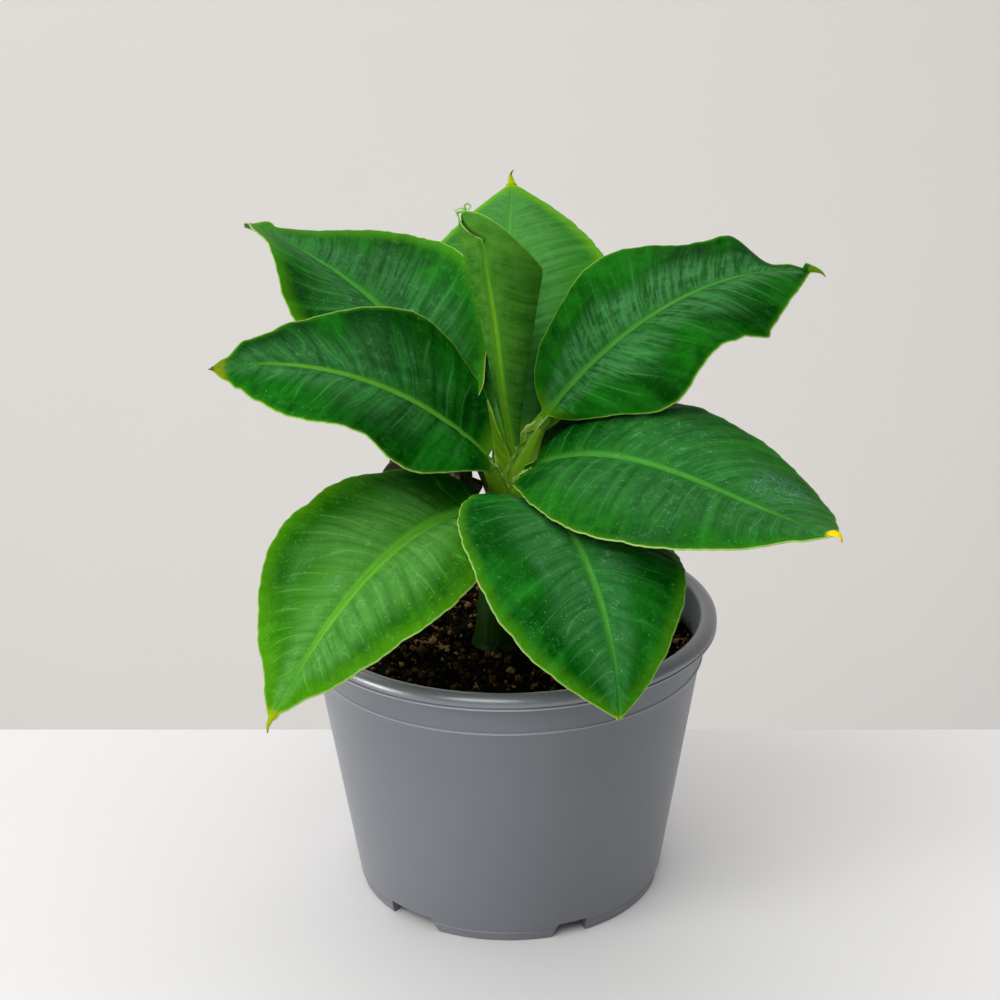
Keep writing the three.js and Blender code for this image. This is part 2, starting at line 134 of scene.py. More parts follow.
# Finishes of the soil's crumbs: dark and pale colour, and roughness where it isn't 0.9. The peat's
# dark colours are darker than peat itself, partly painted shade from the leaves over the soil
CRUMB_FINISHES = (
    ("peat_black_painted_shade", (0.0008, 0.0005, 0.0002), (0.005, 0.003, 0.001)),
    ("peat_brown", (0.008, 0.004, 0.001), (0.11, 0.058, 0.015)),
    ("bark_tan", (0.05, 0.028, 0.008), (0.5, 0.3, 0.11)),
    ("bark_rust", (0.03, 0.012, 0.003), (0.32, 0.13, 0.026)),
    ("grit_pale", (0.1, 0.08, 0.04), (0.4, 0.35, 0.2), 0.75),
)
# Kinds of crumb: how many, how finely faced, least and greatest radius, flattening, height over
# the bed as a share of the radius, and how many of a hundred have each finish
CRUMBS = (
    ("soil_grains", 5200, 1, (0.4, 1.1), (0.6, 1.2), (-0.3, 1.1), (62, 24, 8, 6, 0.4)),
    ("soil_crumbs", 1000, 2, (1.0, 1.9), (0.6, 1.15), (0.0, 1.3), (56, 26, 9, 8, 0.6)),
    ("soil_bark", 170, 2, (1.7, 3.0), (0.45, 1.1), (0.1, 1.1), (44, 30, 14, 10, 1.2)),
)

# Pseudostem: the ends of its leaning axis, and [height, radius] up it
STEM_FOOT = (-4.0, -1.0)
STEM_TIP = (0.0, -1.0)
STEM_WIDTHS = (
    (115.3, 13.6), (118, 12.4), (124, 11.6), (145, 10.6), (165, 8.9), (182, 7.0), (192, 5.6),
    (198, 4.2), (200, 2.5),
)
STEM_SIDES = 96
STEM_ROWS = 150
# Where round the stem each outer sheath's edge runs, and how much thicker it is there
SHEATH_EDGES = (0.4, 2.3, 4.1, 5.5)
SHEATH_STEP = 0.5

# Leaves
BLADE_THICKNESS = 0.45
EDGE_THICKNESS = 0.6
EDGE_TURNS = np.radians((40, 90, 140))
PETIOLE_HALF_WIDTH = 3.4
SHEATH_HALF_WIDTH = 4.4
PETIOLE_FOLD = 40.0
PETIOLE_DEPTH = 3.6
RIB_DEPTH_AT_BASE = 3.0
RIB_DEPTH_AT_TIP = 0.5
RIB_HALF_WIDTH_AT_BASE = 3.1
RIB_HALF_WIDTH_AT_TIP = 0.55
VEIN_LEAN = 0.15
VEIN_BEND = 1.3
LOBE_LENGTH = 0.3
LOBE_WIDTH = 0.35
LEAST_CURL = 0.006
CHANNEL_DEPTHS = (0.75, 0.12)
CHANNEL_LIPS = (0.16, 0.05)
MIDRIB_STEPS = 480
BLADE_ROWS = 210
PETIOLE_ROWS = 22
HALF_COLUMNS = 30
COLUMN_CROWDING = 1.65
TIP_HALF_WIDTH = 0.8
TIP_PART = 0.05
TIP_ROWS = 22
STRIP_ROWS = 30
STRIP_SIDES = 10
STRIP_ROOT = 3.0
RELIEF_PERIODS = (10.3, 5.7, 3.1)
RELIEF_HEIGHTS = (0.5, 0.26, 0.09)
MARGIN_RIPPLES = ((17, 0.22), (9.3, 0.16), (4.7, 0.1))

ORDINARY_LEAF = dict(
    turn=0, petiole=16, blade=160, roll=0, rollTip=0, width=(48, 48), fold=(28, 28), foldTip=(9, 9),
    curl=(-35, -35), widest=0.42, blunt=2, point=(2, 2), lobe=(4, 4), waves=1.6, wave=(0, 0),
    phase=(0, 0), relief=1.0, tip=None, margin=(), bends=(), gutter=4, droop=(0, 0, 0),
)

# Margin: a leaf's swells and nicks [half, distance from the tip, reach along the margin, added width].
# Bends: the same for its surface, up or down. Tip: the withered strip at its end. Droop: where the
# end of the blade is moved
LEAVES = {
    "leaf_upper_right": dict(
        start=(3.4, 2.6, 203), heading=17.5, turn=4, rise=54, crest=29, fall=-13, petiole=25, blade=145,
        width=(51, 52), fold=(15, 12), foldTip=(16, 14), curl=(-2, -56), widest=0.39, blunt=1.7,
        point=(2.4, 2.4), lobe=(0, 0), waves=2.07, wave=(-2.7, 6), phase=(-0.2, 0.22), gutter=15,
        tip=dict(length=9, width=2.7, turn=75, lift=2.0, middle=(0.9, 0, -0.2), end=(0.5, 0, -1)),
        margin=((LEFT, 45, 8, -1.8), (LEFT, 23, 5.5, 4.4), (LEFT, 12.5, 6, -5.6), (LEFT, 1.5, 2, 1.5),
                (RIGHT, 30, 8, -1), (RIGHT, 46, 3.2, 2.8), (RIGHT, 56.5, 4, -2.4),
                (RIGHT, 66, 7, -1.2), (RIGHT, 113, 8, 1.6)),
        bends=((LEFT, 15.5, 5, -3.2), (LEFT, 28, 6, 2.4)),
    ),
    "leaf_mid_left": dict(
        start=(0.6, -7, 193.7), heading=187, turn=-1, rise=56, crest=26, fall=-8, petiole=16, blade=132,
        roll=1, rollTip=12, width=(51, 50), fold=(27, 28), foldTip=(7, 9), curl=(-53, 5), widest=0.34,
        point=(2.1, 1.8), lobe=(2, 3), waves=1.66, wave=(-6, -3.4), phase=(-0.2, 0.07), gutter=12,
        tip=dict(length=1.2, width=1.0, middle=(-1, 0, 0), end=(-1, 0, 0.2)),
        margin=((LEFT, 4, 3, 1.8), (LEFT, 9.5, 1.8, 1.9), (LEFT, 17, 3.5, 1.5), (LEFT, 67, 5, -1),
                (LEFT, 80, 8, 1.1), (RIGHT, 7.7, 2.5, -1.4), (RIGHT, 13.3, 3, 1.3),
                (RIGHT, 24.8, 4, -1.6), (RIGHT, 40, 3, -0.5), (RIGHT, 57, 6, 0.9)),
    ),
    "leaf_upper_left": dict(
        start=(-10.5, 5.5, 194), heading=132, turn=7, rise=68, crest=25, fall=12, petiole=30, blade=162,
        roll=30, rollTip=-33, width=(47.5, 44.5), fold=(28, 34), foldTip=(16, 16), curl=(-26, 10),
        widest=0.43, blunt=1.7, point=(1.8, 1.95), waves=2.15, wave=(6, -2), phase=(-0.22, 0.14),
        tip=dict(length=1.0, width=0.9, middle=(-1, 0, -0.3), end=(-1, 0, -0.5)),
        margin=((RIGHT, 6.5, 4.5, 2.6), (RIGHT, 45, 20, -1.6), (LEFT, 9, 3, 2.2)), droop=(1.0, 0, -2.8),
        bends=((RIGHT, 5, 4.5, 3.4), (LEFT, 6, 4, -1.4)),
    ),
    "leaf_right": dict(
        start=(2.1, -3.6, 193.5), heading=323, turn=-12, rise=46, crest=-2, fall=6.5, petiole=16,
        blade=163, roll=-21, rollTip=1, width=(54, 56), fold=(27, 25), foldTip=(2, 3), curl=(-43, -26),
        widest=0.44, blunt=1.8, point=(2.6, 2.6), lobe=(4, 5), waves=1, wave=(1.3, 3.2),
        phase=(0.12, 0.33), tip=dict(length=4, width=3.4, middle=(0.3, 0, -1), end=(0.1, 0, -1)),
        gutter=10, margin=((RIGHT, 13, 4.5, -3.2), (RIGHT, 2, 2, 1), (RIGHT, 68, 8, -1.2),
                (RIGHT, 144, 9, -1.8), (LEFT, 109, 5, 1), (LEFT, 95, 4, -0.7), (LEFT, 74, 6, 1.1),
                (LEFT, 25, 6, 1.2)),
    ),
    "leaf_back": dict(
        start=(-2.4, 7.9, 195), heading=87, turn=1, rise=76, crest=26, fall=9, petiole=17, blade=181,
        roll=1, rollTip=1, width=(52, 52), fold=(21, 21), foldTip=(9, 9), curl=(-57, -41), widest=0.41,
        blunt=2.1, waves=1.77, wave=(-2.7, -1.1), phase=(0.08, 0.02),
        tip=dict(length=8, width=2.6, middle=(-0.5, 0.1, 1), end=(1, 0, 0.7)),
    ),
    "leaf_back_right": dict(
        start=(2, 6, 187), heading=58, rise=44, crest=10, fall=-34, petiole=18, blade=152,
        width=(45, 45), wave=(1.5, 1.5), phase=(0.1, 0.4),
        tip=dict(length=4, width=1.4, middle=(0.5, 0.8, -0.6), end=(0.2, 0.3, -1)),
    ),
    "leaf_lower_front": dict(
        start=(0, -7.2, 185), heading=288, turn=-1, rise=26, crest=-9.5, fall=-85, petiole=25,
        blade=148, roll=14, rollTip=-15, width=(45, 47), fold=(14, 16), foldTip=(15, 14),
        curl=(-50, -25), widest=0.44, blunt=1.7, point=(2.1, 2.6), waves=1.66, wave=(2, -1.6),
        phase=(0.14, -0.11), margin=((LEFT, 30, 5, -0.6), (LEFT, 52, 4, 0.5), (RIGHT, 40, 6, -0.6)),
    ),
    "leaf_lower_left": dict(
        start=(-1.4, -6.3, 177.6), heading=232, rise=33, crest=-18, fall=-42, petiole=10, blade=160,
        roll=6, rollTip=-3, width=(47, 47), fold=(29, 32), foldTip=(9, 8), curl=(-34, -12),
        widest=0.45, blunt=2.1, point=(1.85, 2), lobe=(4, 5), waves=1.44, wave=(1.3, -4.7),
        phase=(-0.03, -0.02), relief=0.75,
        tip=dict(length=5, width=1.9, middle=(-0.1, 0, -1), end=(0.1, 0, -1)),
        margin=((RIGHT, 88, 14, -4), (RIGHT, 68, 7, -1), (RIGHT, 128, 8, -1), (RIGHT, 17, 7, -2),
                (LEFT, 11, 6, -1.9), (LEFT, 4.5, 1.6, -0.9), (LEFT, 1.5, 1.6, 0.8), (LEFT, 52, 6, -1)),
    ),
    "dry_leaf": dict(
        start=(-8, 1.5, 187), heading=172, turn=6, rise=30, crest=8, fall=-60, petiole=10, blade=44,
        width=(14, 14), fold=(40, 30), foldTip=(50, 40), curl=(30, 45), point=(1.6, 1.6), lobe=(0, 0),
        waves=2.5, wave=(2.5, 3), phase=(0.2, 0.6), relief=3.0,
    ),
}

# Which neighbours a leaf bends back behind, and how far clear of them it stays
BEHIND = {
    "leaf_upper_left": ("leaf_mid_left",),
    "leaf_back": ("leaf_mid_left", "leaf_upper_left", "leaf_upper_right"),
}
BEHIND_GAP = 2.5
BEHIND_NEAR = 5.0
BEHIND_FADE = 42.0
BEHIND_SOFTENING = (9, 3)

# New leaf, rolled into a cone: the outer sheet's seam runs down the front, and the inner sheet
# shows on its right. Headings count down from the seam round the back, or up to the right
ROLL_FOOT_Z = 196.0
ROLL_SPAN = 118.3
# [height, radius, sideways place of its middle]
ROLL_WIDTHS = (
    (196, 2.2, 4.6), (215, 4.2, 3.1), (233, 7.2, 2.0), (255, 10.7, 1.6), (277, 14.6, 1.1),
    (292, 17.7, 0.5), (316, 20.6, 0.0),
)
ROLL_DEPTH = 0.93
ROLL_SHEETS = (
    dict(start=241.0, end=12.0, inset=0.0,
         top=((241, 308.4), (236, 308.6), (228, 309.4), (218, 310.8), (208, 313.0), (199, 316.2),
              (190, 316.9), (180, 314), (120, 300), (60, 282), (12, 268))),
    dict(start=196.0, end=505.0, inset=0.75,
         top=((196, 315), (205, 317.6), (222, 318.8), (240, 318.4), (262, 314.6), (290, 306), (320, 297),
              (350, 290), (400, 278), (450, 266), (505, 256))),
)
# Cords at the roll's top: places on its outside [heading, height, how proud], places in the open
# [x, y, z], thickness, and which of its finishes: 2 is the pale edge, 3 the dried lip
ROLL_CORDS = (
    (((192, 316.9, 0.9), (199, 316.2, 1.2), (208, 313.1, 1.2), (218, 310.8, 1.2), (226, 309.6, 1.1)),
     (), 0.34, 2),
    (((222, 310.2, 1.1), (229, 309.3, 1.2), (236, 308.6, 0.8), (242, 308.2, 0.3)), (), 0.42, 3),
    (((193, 316.6, 0.6),),
     ((-16.6, -6, 317.6), (-16.8, -6, 319.6), (-15.3, -6.2, 320.6), (-14.2, -6.5, 319.4),
      (-15.2, -6.8, 318.2), (-16.4, -6.6, 318.8)), 0.6, 2),
    ((), ((-16.6, -6, 318.0), (-18.4, -6, 318.6), (-20.2, -6, 317.9), (-22.0, -6, 318.3)), 0.4, 2),
)
ROLL_SKIN = 0.6
ROLL_LIP = 1.1
ROLL_SEAM_DEPTH = 1.1
ROLL_ROWS = 150
ROLL_COLUMNS = 90


def mix(a, b, share):
    return a + (b - a) * share


def smooth(value, low, high):
    """0 below low, 1 above high and a soft step between them."""
    share = np.clip((value - low) / (high - low), 0, 1)
    return share * share * (3 - 2 * share)


def unit(vectors):
    return vectors / np.maximum(np.linalg.norm(vectors, axis=-1, keepdims=True), 1e-9)


def flat_list(grid):
    """A grid of points as one list of points."""
    return np.asarray(grid).reshape(-1, 3)


def whole_turn(count):
    """Evenly spread angles of one turn."""
    return np.linspace(0, 2 * math.pi, count, endpoint=False)


# Shader nodes written as sums


class Value:
    """A number, vector or colour that changes over a surface."""

    def __init__(self, finish, socket):
        self.finish = finish
        self.socket = socket

    def _math(self, operation, *others):
        return self.finish.node("ShaderNodeMath", {"operation": operation}, [self, *others])

    def __add__(self, other):
        return self._math("ADD", other)

    def __sub__(self, other):
        return self._math("SUBTRACT", other)

    def __rsub__(self, other):
        return self.finish.node("ShaderNodeMath", {"operation": "SUBTRACT"}, [other, self])

    def __mul__(self, other):
        return self._math("MULTIPLY", other)

    def __truediv__(self, other):
        return self._math("DIVIDE", other)

    def __pow__(self, other):
        return self._math("POWER", other)

    __radd__ = __add__
    __rmul__ = __mul__

    def size(self):
        return self._math("ABSOLUTE")

    def sine(self):
        return self._math("SINE")

    def within(self):
        """Kept between 0 and 1."""
        return self.finish.node("ShaderNodeClamp", {}, [self])


class Finish:
    """A material that is being made."""

    def __init__(self, name):
        self.material = bpy.data.materials.new(name)
        self.material.use_nodes = True
        self.tree = self.material.node_tree
        self.shader = self.tree.nodes["Principled BSDF"]

    def node(self, kind, settings, inputs, output=0):
        """Any node: its settings come first, then its sockets, by place or by name."""
        made = self.tree.nodes.new(kind)
        for name, value in settings.items():
            setattr(made, name, value)
        named = inputs.items() if isinstance(inputs, dict) else enumerate(inputs)
        for name, value in named:
            self.plug(made.inputs[name], value)
        return Value(self, made.outputs[output])

    def plug(self, socket, value):
        if isinstance(value, Value):
            self.tree.links.new(value.socket, socket)
        elif value is not None:
            socket.default_value = value

    def surface(self, **values):
        """The surface's own sockets, such as Base_Color or Roughness."""
        for name, value in values.items():
            if name == "Base_Color" and not isinstance(value, Value):
                value = (*value, 1)
            self.plug(self.shader.inputs[name.replace("_", " ")], value)

    def place(self, name):
        """The three numbers of one of the mesh's own attributes."""
        found = self.node("ShaderNodeAttribute", {"attribute_name": name}, [], 1)
        parts = self.node("ShaderNodeSeparateXYZ", {}, [found])
        node = parts.socket.node
        return [Value(self, node.outputs[k]) for k in range(3)]

    def solid_place(self):
        """The place in the object's own space, in millimetres."""
        found = self.node("ShaderNodeTexCoord", {}, [], 3)
        return self.node("ShaderNodeVectorMath", {"operation": "SCALE"}, {0: found, 3: 1 / MM})

    def vector(self, x, y, z):
        return self.node("ShaderNodeCombineXYZ", {}, [x, y, z])

    def noise(self, at, scale=1.0, detail=2.0, rough=0.5, warp=0.0):
        inputs = {"Vector": at, "Scale": scale, "Detail": detail, "Roughness": rough, "Distortion": warp}
        return self.node("ShaderNodeTexNoise", {}, inputs)

    def cells(self, at):
        return self.node("ShaderNodeTexVoronoi", {}, {"Vector": at, "Scale": 1.0})

    def step(self, value, low, high):
        """0 at low, 1 at high, softly."""
        inputs = {"Value": value, "From Min": low, "From Max": high}
        return self.node("ShaderNodeMapRange", {"interpolation_type": "SMOOTHSTEP"}, inputs)

    def fade(self, value, low, high):
        """1 at low, 0 at high, softly."""
        return 1.0 - self.step(value, low, high)

    def blend(self, share, a, b):
        """Colour a turning into colour b."""
        a, b = ((*c, 1) if isinstance(c, tuple) else c for c in (a, b))
        return self.node("ShaderNodeMix", {"data_type": "RGBA"}, {0: share, 6: a, 7: b}, 2)

    def painted(self, colour, *coats):
        """A colour under several coats, each of them a share and its own colour."""
        for share, coat in coats:
            colour = self.blend(share, colour, coat)
        return colour

    def relief(self, height, depth_mm, strength=1.0):
        inputs = {"Strength": strength, "Distance": depth_mm * MM, "Height": height}
        self.surface(Normal=self.node("ShaderNodeBump", {}, inputs))


# Finishes


def blade_patterns(f, look):
    """A point's place on the blade, and the soft patterns that several of its colours follow."""
    along, across, rim = f.place("blade_place")
    vein, share, _ = f.place("vein_place")
    seed, off = look["seed"], share.size()
    band = f.noise(f.vector(vein * 0.15, share * 0.9, seed + 7.0), detail=2)
    drift = f.noise(f.vector(vein * 0.05, share * 0.8, seed + 5.0), detail=1)
    ripple = (vein * (2 * math.pi / look["vein_gap"]) + drift * 16.0).sine() * 0.5 + 0.5
    held = f.step(off, 0.03, 0.1) * f.fade(off, 0.6, 0.92)
    return SimpleNamespace(
        along=along, across=across, rim=rim, off=off, band=band,
        fine=f.noise(f.vector(vein * 0.6, share * 1.5, seed), detail=3, rough=0.65),
        cloud=f.noise(f.vector(along * 0.026, across * 0.03, seed + 3.0), detail=3, warp=0.4),
        patch=f.noise(f.vector(along * 0.16, across * 0.18, seed + 11.0), detail=4, rough=0.7),
        grain=f.noise(f.vector(along * 0.55, across * 0.6, seed + 30.0), detail=3, rough=0.7),
        lines=(ripple ** 40.0) * f.step(drift, 0.35, 0.6) * held,
        grooves=((1.0 - ripple) ** 7.0) * f.step(band, 0.4, 0.62) * held,
    )


def bloom_and_sheen_cover(f, blade, look):
    """Where the dull bloom and its painted sheen lie: out from the midrib, with a ragged outer edge."""
    ragged = blade.off + (blade.cloud - 0.5) * 0.9 + (blade.patch - 0.5) * 0.5
    start = blade.along / look["length"] + (blade.cloud - 0.5) * 0.6
    reach = look["film_reach"]
    return f.fade(ragged, reach * 0.5, reach * 1.1) * f.step(start, *look["film_from"])


def blade_colours(f, blade, cover, look):
    """Green tones with the bloom and its painted sheen in streaks and spots, grooves darkened as painted
    shade, pale side veins, and painted shade towards the foot on the leaves that set it.
    """
    tone = blade.band * 1.8 + blade.cloud * 2.6 + blade.patch * 1.3 + blade.fine * 0.6 - 2.75
    streak = f.step(blade.fine + (blade.patch - 0.5) * 0.6, 0.36, 0.64)
    film = cover * (streak * look["streaks"] + (1.0 - look["streaks"])) * look["film"]
    spots = f.step(blade.grain, 0.5, 0.72) * f.step(blade.patch, 0.4, 0.64)
    # Spots take a colour between the bloom's painted sheen and dust
    dust_and_sheen = tuple(mix(*parts, 0.35) for parts in zip(look["bloom_and_sheen"], look["dust"]))
    # The grooves between the side veins take the deep green as painted shade of their relief
    colour = f.painted(
        f.blend(tone.within(), look["deep"], look["light"]), (film, look["bloom_and_sheen"]),
        (spots * look["mottle"] * 0.7, dust_and_sheen), (blade.grooves * look["groove"], look["deep"]),
        (blade.lines * 0.45, look["vein"]),
    )
    # Painted shade: the blade darkens towards its foot, where the leaves in front shade it
    if look.get("shade"):
        depth = f.fade(blade.along + (blade.cloud - 0.5) * 30.0, *look["shade"])
        colour = f.blend(depth * 0.85, colour, look["shaded"])
    return colour


def rib_and_rim_colours(f, blade, colour, look):
    """The midrib and its glow, the pale margins, and the petiole's green at the foot."""
    length, along = look["length"], blade.along
    off_rib = blade.across.size() / ((1.0 - along / length) * (look["rib_width"] - 0.7) + 0.7)
    rib = f.fade(off_rib, 0.45, 1.35) * f.fade(along, length * 0.7, length * 0.96)
    tone = f.noise(f.vector(along * 0.12, blade.across * 0.8, look["seed"]))
    return f.painted(
        colour, (f.fade(off_rib, 0.9, 4.0) * 0.35, look["light"]),
        (f.fade(blade.rim, 0.2, look["rim_width"]) * look["rim_strength"], look["rim"]),
        (rib, f.blend(tone, look["rib"], look["rib_pale"])),
        (f.fade(along, -2.0, 9.0), look["petiole"]),
        (f.fade(blade.rim, 0.22, 0.5) * look["hem"], look["edge"]),
    )


def dust_specks(f, blade, seed):
    """Specks of dust in patches, and a few dried drops."""
    along, across = blade.along, blade.across
    dots = f.cells(f.vector(along * 0.7, across * 0.7, seed))
    drops = f.cells(f.vector(along * 0.22, across * 0.22, seed + 2.0))
    where = f.noise(f.vector(along * 0.05, across * 0.05, seed + 20.0), detail=2)
    specks = f.fade(dots, 0.08, 0.24) * f.step(where, 0.47, 0.66)
    return (specks + f.fade(drops, 0.06, 0.12) * 0.7).within()


def leaf_top_finish(name, look):
    """Waxy upper side: a dull bloom with a painted sheen in streaks along the side veins, a pale midrib,
    pale edges.
    """
    f = Finish(name)
    blade = blade_patterns(f, look)
    cover = bloom_and_sheen_cover(f, blade, look)
    colour = rib_and_rim_colours(f, blade, blade_colours(f, blade, cover, look), look)
    seed = look["seed"]
    specks = dust_specks(f, blade, seed)
    crazed = f.noise(f.vector(blade.along * 0.2, blade.across * 0.24, seed + 40.0), detail=3, warp=1.0)
    dried = f.fade((crazed - 0.5).size(), 0.006, 0.022) * f.step(blade.patch, 0.5, 0.62) * cover
    colour = f.blend((specks + dried).within() * look["specks"], colour, look["dust"])
    if look.get("marks"):
        colour = water_marks(f, colour, blade, look["marks"])
    colour = tip_colours(f, colour, blade, look)
    rough = blade.fine * 0.14 + blade.cloud * 0.1 + specks * 0.2 + look["gloss"]
    height = blade.fine * 0.5 + blade.lines * 0.5 + blade.band * 0.8 - blade.grooves + specks * 0.3
    f.surface(Base_Color=colour, Roughness=rough, Specular_IOR_Level=look["shine"])
    f.relief(height + blade.patch * 0.4 + blade.grain * 0.3, 0.22, 0.9)
    return f.material


def water_marks(f, colour, blade, marks):
    """Dried rings and drops of hard water round one place of the blade."""
    centre_along, centre_across, reach = marks
    far = ((blade.along - centre_along) ** 2.0 + (blade.across - centre_across) ** 2.0) ** 0.5
    rings = f.noise(f.vector(blade.along * 0.32, blade.across * 0.45, 4.0), detail=2, warp=1.2)
    line = f.fade((rings - 0.52).size(), 0.012, 0.05) * f.fade(far, reach * 0.45, reach)
    return f.blend(line * 0.35, colour, (0.2, 0.42, 0.36))


def tip_colours(f, colour, blade, look):
    """The last stretch of the blade turns yellow, and what is left of the drip tip dries."""
    length, strength = look["length"], look["tip_strength"]
    wobble = f.noise(f.vector(blade.along * 0.35, blade.rim * 0.5, look["seed"]), detail=2) * 4.0
    at = blade.along + wobble - 2.0 - blade.rim * 0.25 - blade.across.size() * look["tip_round"]
    yellow = f.step(at, length - look["tip_yellow"], length - look["tip_yellow"] * 0.4)
    dry = f.step(blade.along, length - look["tip_dry"] - 1.0, length - look["tip_dry"] + 1.0)
    return f.painted(colour, (yellow * strength, look["tip"]), (dry * strength, look["dry"]))


def leaf_under_finish(name, look):
    """Paler, duller underside with the side veins raised."""
    f = Finish(name)
    along, across, rim = f.place("blade_place")
    vein, share, _ = f.place("vein_place")
    fine = f.noise(f.vector(vein * 1.5, share * 1.5, look["seed"] + 2.0), detail=3, rough=0.6)
    broad = f.noise(f.vector(vein * 0.12, share * 1.3, look["seed"] + 1.0), detail=2)
    ripple = (vein * (2 * math.pi / look["vein_gap"])).sine() * 0.5 + 0.5
    lines = (ripple ** 10.0) * f.step(share.size(), 0.02, 0.12)
    tone = (broad * 0.9 + fine * 0.6 - 0.25).within()
    on_rib = f.fade(across.size(), look["rib_width"] * 0.7, look["rib_width"] * 1.5)
    colour = f.painted(
        f.blend(tone, look["under_deep"], look["under"]), (lines * 0.4, look["vein"]),
        (on_rib * 0.85, look["rib_pale"]), (f.fade(rim, 0.0, 3.0) * 0.6, look["rim"]),
        (f.fade(along, -2.0, 9.0), look["petiole"]),
    )
    colour = tip_colours(f, colour, SimpleNamespace(along=along, across=across, rim=rim), look)
    f.surface(Base_Color=colour, Roughness=fine * 0.15 + 0.48)
    f.relief(fine * 0.5 + lines * 0.7, 0.25, 0.7)
    return f.material


def leaf_edge_finish(name, look):
    """The thin pale cord round the margin, with short brown dry stretches."""
    f = Finish(name)
    at = f.solid_place()
    dry = f.step(f.noise(at, 0.09, detail=3), 0.6, 0.7)
    tone = f.noise(at, 0.4, detail=2)
    colour = f.painted(f.blend(tone, look["edge"], look["edge_pale"]), (dry * 0.45, (0.16, 0.09, 0.03)))
    f.surface(Base_Color=colour, Roughness=0.5)
    return f.material


def dry_finish(name, dark, pale):
    """Papery dead leaf or sheath, wrinkled along its length."""
    f = Finish(name)
    at = f.solid_place()
    grain = f.noise(at, 0.55, detail=4, rough=0.7, warp=0.6)
    spots = f.noise(at, 0.14, detail=2)
    colour = f.blend((grain * 0.8 + spots * 0.7 - 0.45).within(), dark, pale)
    f.surface(Base_Color=colour, Roughness=grain * 0.3 + 0.55)
    f.relief(grain, 0.6, 0.8)
    return f.material


def stem_finish(name, low, high, pale, rough=0.32, shine=0.12):
    """Sheaths of the pseudostem: darker towards the soil, partly their own colour and partly painted shade
    under the leaves, pale yellow-green at the fork, streaked.
    """
    f = Finish(name)
    height, around, rim = f.place("stem_place")
    streak = f.noise(f.vector(around * 1.6, height * 0.03, 2.0), detail=3, rough=0.6)
    blotch = f.noise(f.vector(around * 0.25, height * 0.06, 5.0), detail=3)
    rise = f.step(height + blotch * 24.0, 158.0, 206.0)
    stain = f.step(blotch, 0.6, 0.74) * (1.0 - rise)
    colour = f.painted(
        f.blend(rise, low, high), (f.step(streak, 0.45, 0.75) * (rise * 0.4 + 0.06), pale),
        (f.fade(rim, 0.0, 1.3) * (rise * 0.65 + 0.08), pale), (stain * 0.5, (0.09, 0.06, 0.02)),
    )
    f.surface(Base_Color=colour, Roughness=streak * 0.2 + rough, Specular_IOR_Level=shine)
    f.relief(streak * 0.7 + blotch * 0.3, 0.25, 0.7)
    return f.material


def pot_finish(name, gloss, shine, tint=1.0):
    """Moulded grey plastic: satin, faintly mottled and scuffed; the rolled rim is glossier. A tint above 1
    lightens the colour as a painted highlight.
    """
    f = Finish(name)
    at = f.solid_place()
    grain = f.noise(at, 0.9, detail=3, rough=0.6)
    cloud = f.noise(at, 0.022, detail=3)
    upright = f.node("ShaderNodeMapping", {}, {"Vector": at, "Scale": (0.05, 0.05, 0.9)})
    scuff = f.step(f.noise(upright, 0.5, detail=4, rough=0.7), 0.63, 0.78)
    low, high = (tuple(c * tint for c in colour) for colour in (POT_LOW, POT_HIGH))
    colour = f.painted(
        f.blend(cloud, low, high), (grain * 0.12, (0.24, 0.25, 0.26)), (scuff * 0.1, (0.33, 0.34, 0.35)),
    )
    rough = cloud * 0.1 + grain * 0.08 + scuff * 0.1 + gloss
    f.surface(Base_Color=colour, Roughness=rough, Specular_IOR_Level=shine)
    f.relief(grain * 0.6 + scuff * 0.3, 0.05, 0.5)
    return f.material


def crumb_finish(name, dark, pale, rough=0.9):
    """A bit of peat, bark or grit."""
    f = Finish(name)
    grain = f.noise(f.solid_place(), 1.1, detail=4, rough=0.7)
    f.surface(Base_Color=f.blend(grain, dark, pale), Roughness=rough, Specular_IOR_Level=0.08)
    f.relief(grain, 0.5, 0.9)
    return f.material


def stage_finish(name, colour, rough):
    f = Finish(name)
    grain = f.noise(f.solid_place(), 0.01, detail=2)
    shade = tuple(c * 0.985 for c in colour)
    f.surface(Base_Color=f.blend(grain, shade, colour), Roughness=rough, Specular_IOR_Level=0.1)
    return f.material


# Meshes


def mesh_piece(name, points, faces, materials, indices=None, smoothed=True, sharp_degrees=None):
    """One object from points in millimetres and faces of any number of corners."""
    mesh = bpy.data.meshes.new(name)
    mesh.from_pydata((np.asarray(points) * MM).tolist(), [], faces)
    for material in materials:
        mesh.materials.append(material)
    if indices is not None:
        mesh.polygons.foreach_set("material_index", np.asarray(indices, np.int32))
    mesh.polygons.foreach_set("use_smooth", np.full(len(mesh.polygons), smoothed))
    if sharp_degrees is not None:
        mesh.set_sharp_from_angle(angle=math.radians(sharp_degrees))
    mesh.update()
    piece = bpy.data.objects.new(name, mesh)
    bpy.context.scene.collection.objects.link(piece)
    return piece


def write_place(piece, name, values):
    attribute = piece.data.attributes.new(name, "FLOAT_VECTOR", "POINT")
    attribute.data.foreach_set("vector", np.asarray(values, np.float32).ravel())


def place_piece(piece, slot, *nodes):
    """The piece rides on the plant's one body and stands for its CAD nodes."""
    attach(piece, "root")
    if nodes:
        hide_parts(*nodes)
    return piece


class Gather:
    """Points, faces, materials and places of several surfaces that make one piece."""

    def __init__(self, *names):
        self.points = []
        self.faces = []
        self.indices = []
        self.places = {name: [] for name in names}
        self.count = 0

    def add(self, points, faces, indices, **places):
        self.points.append(points)
        self.faces += [[corner + self.count for corner in face] for face in faces]
        self.indices += list(indices)
        for name, held in self.places.items():
            held.append(places.get(name, np.zeros((len(points), 3))))
        self.count += len(points)

    def piece(self, name, materials, **options):
        points = np.concatenate(self.points)
        made = mesh_piece(name, points, self.faces, materials, self.indices, **options)
        for place, held in self.places.items():
            write_place(made, place, np.concatenate(held))
        return made


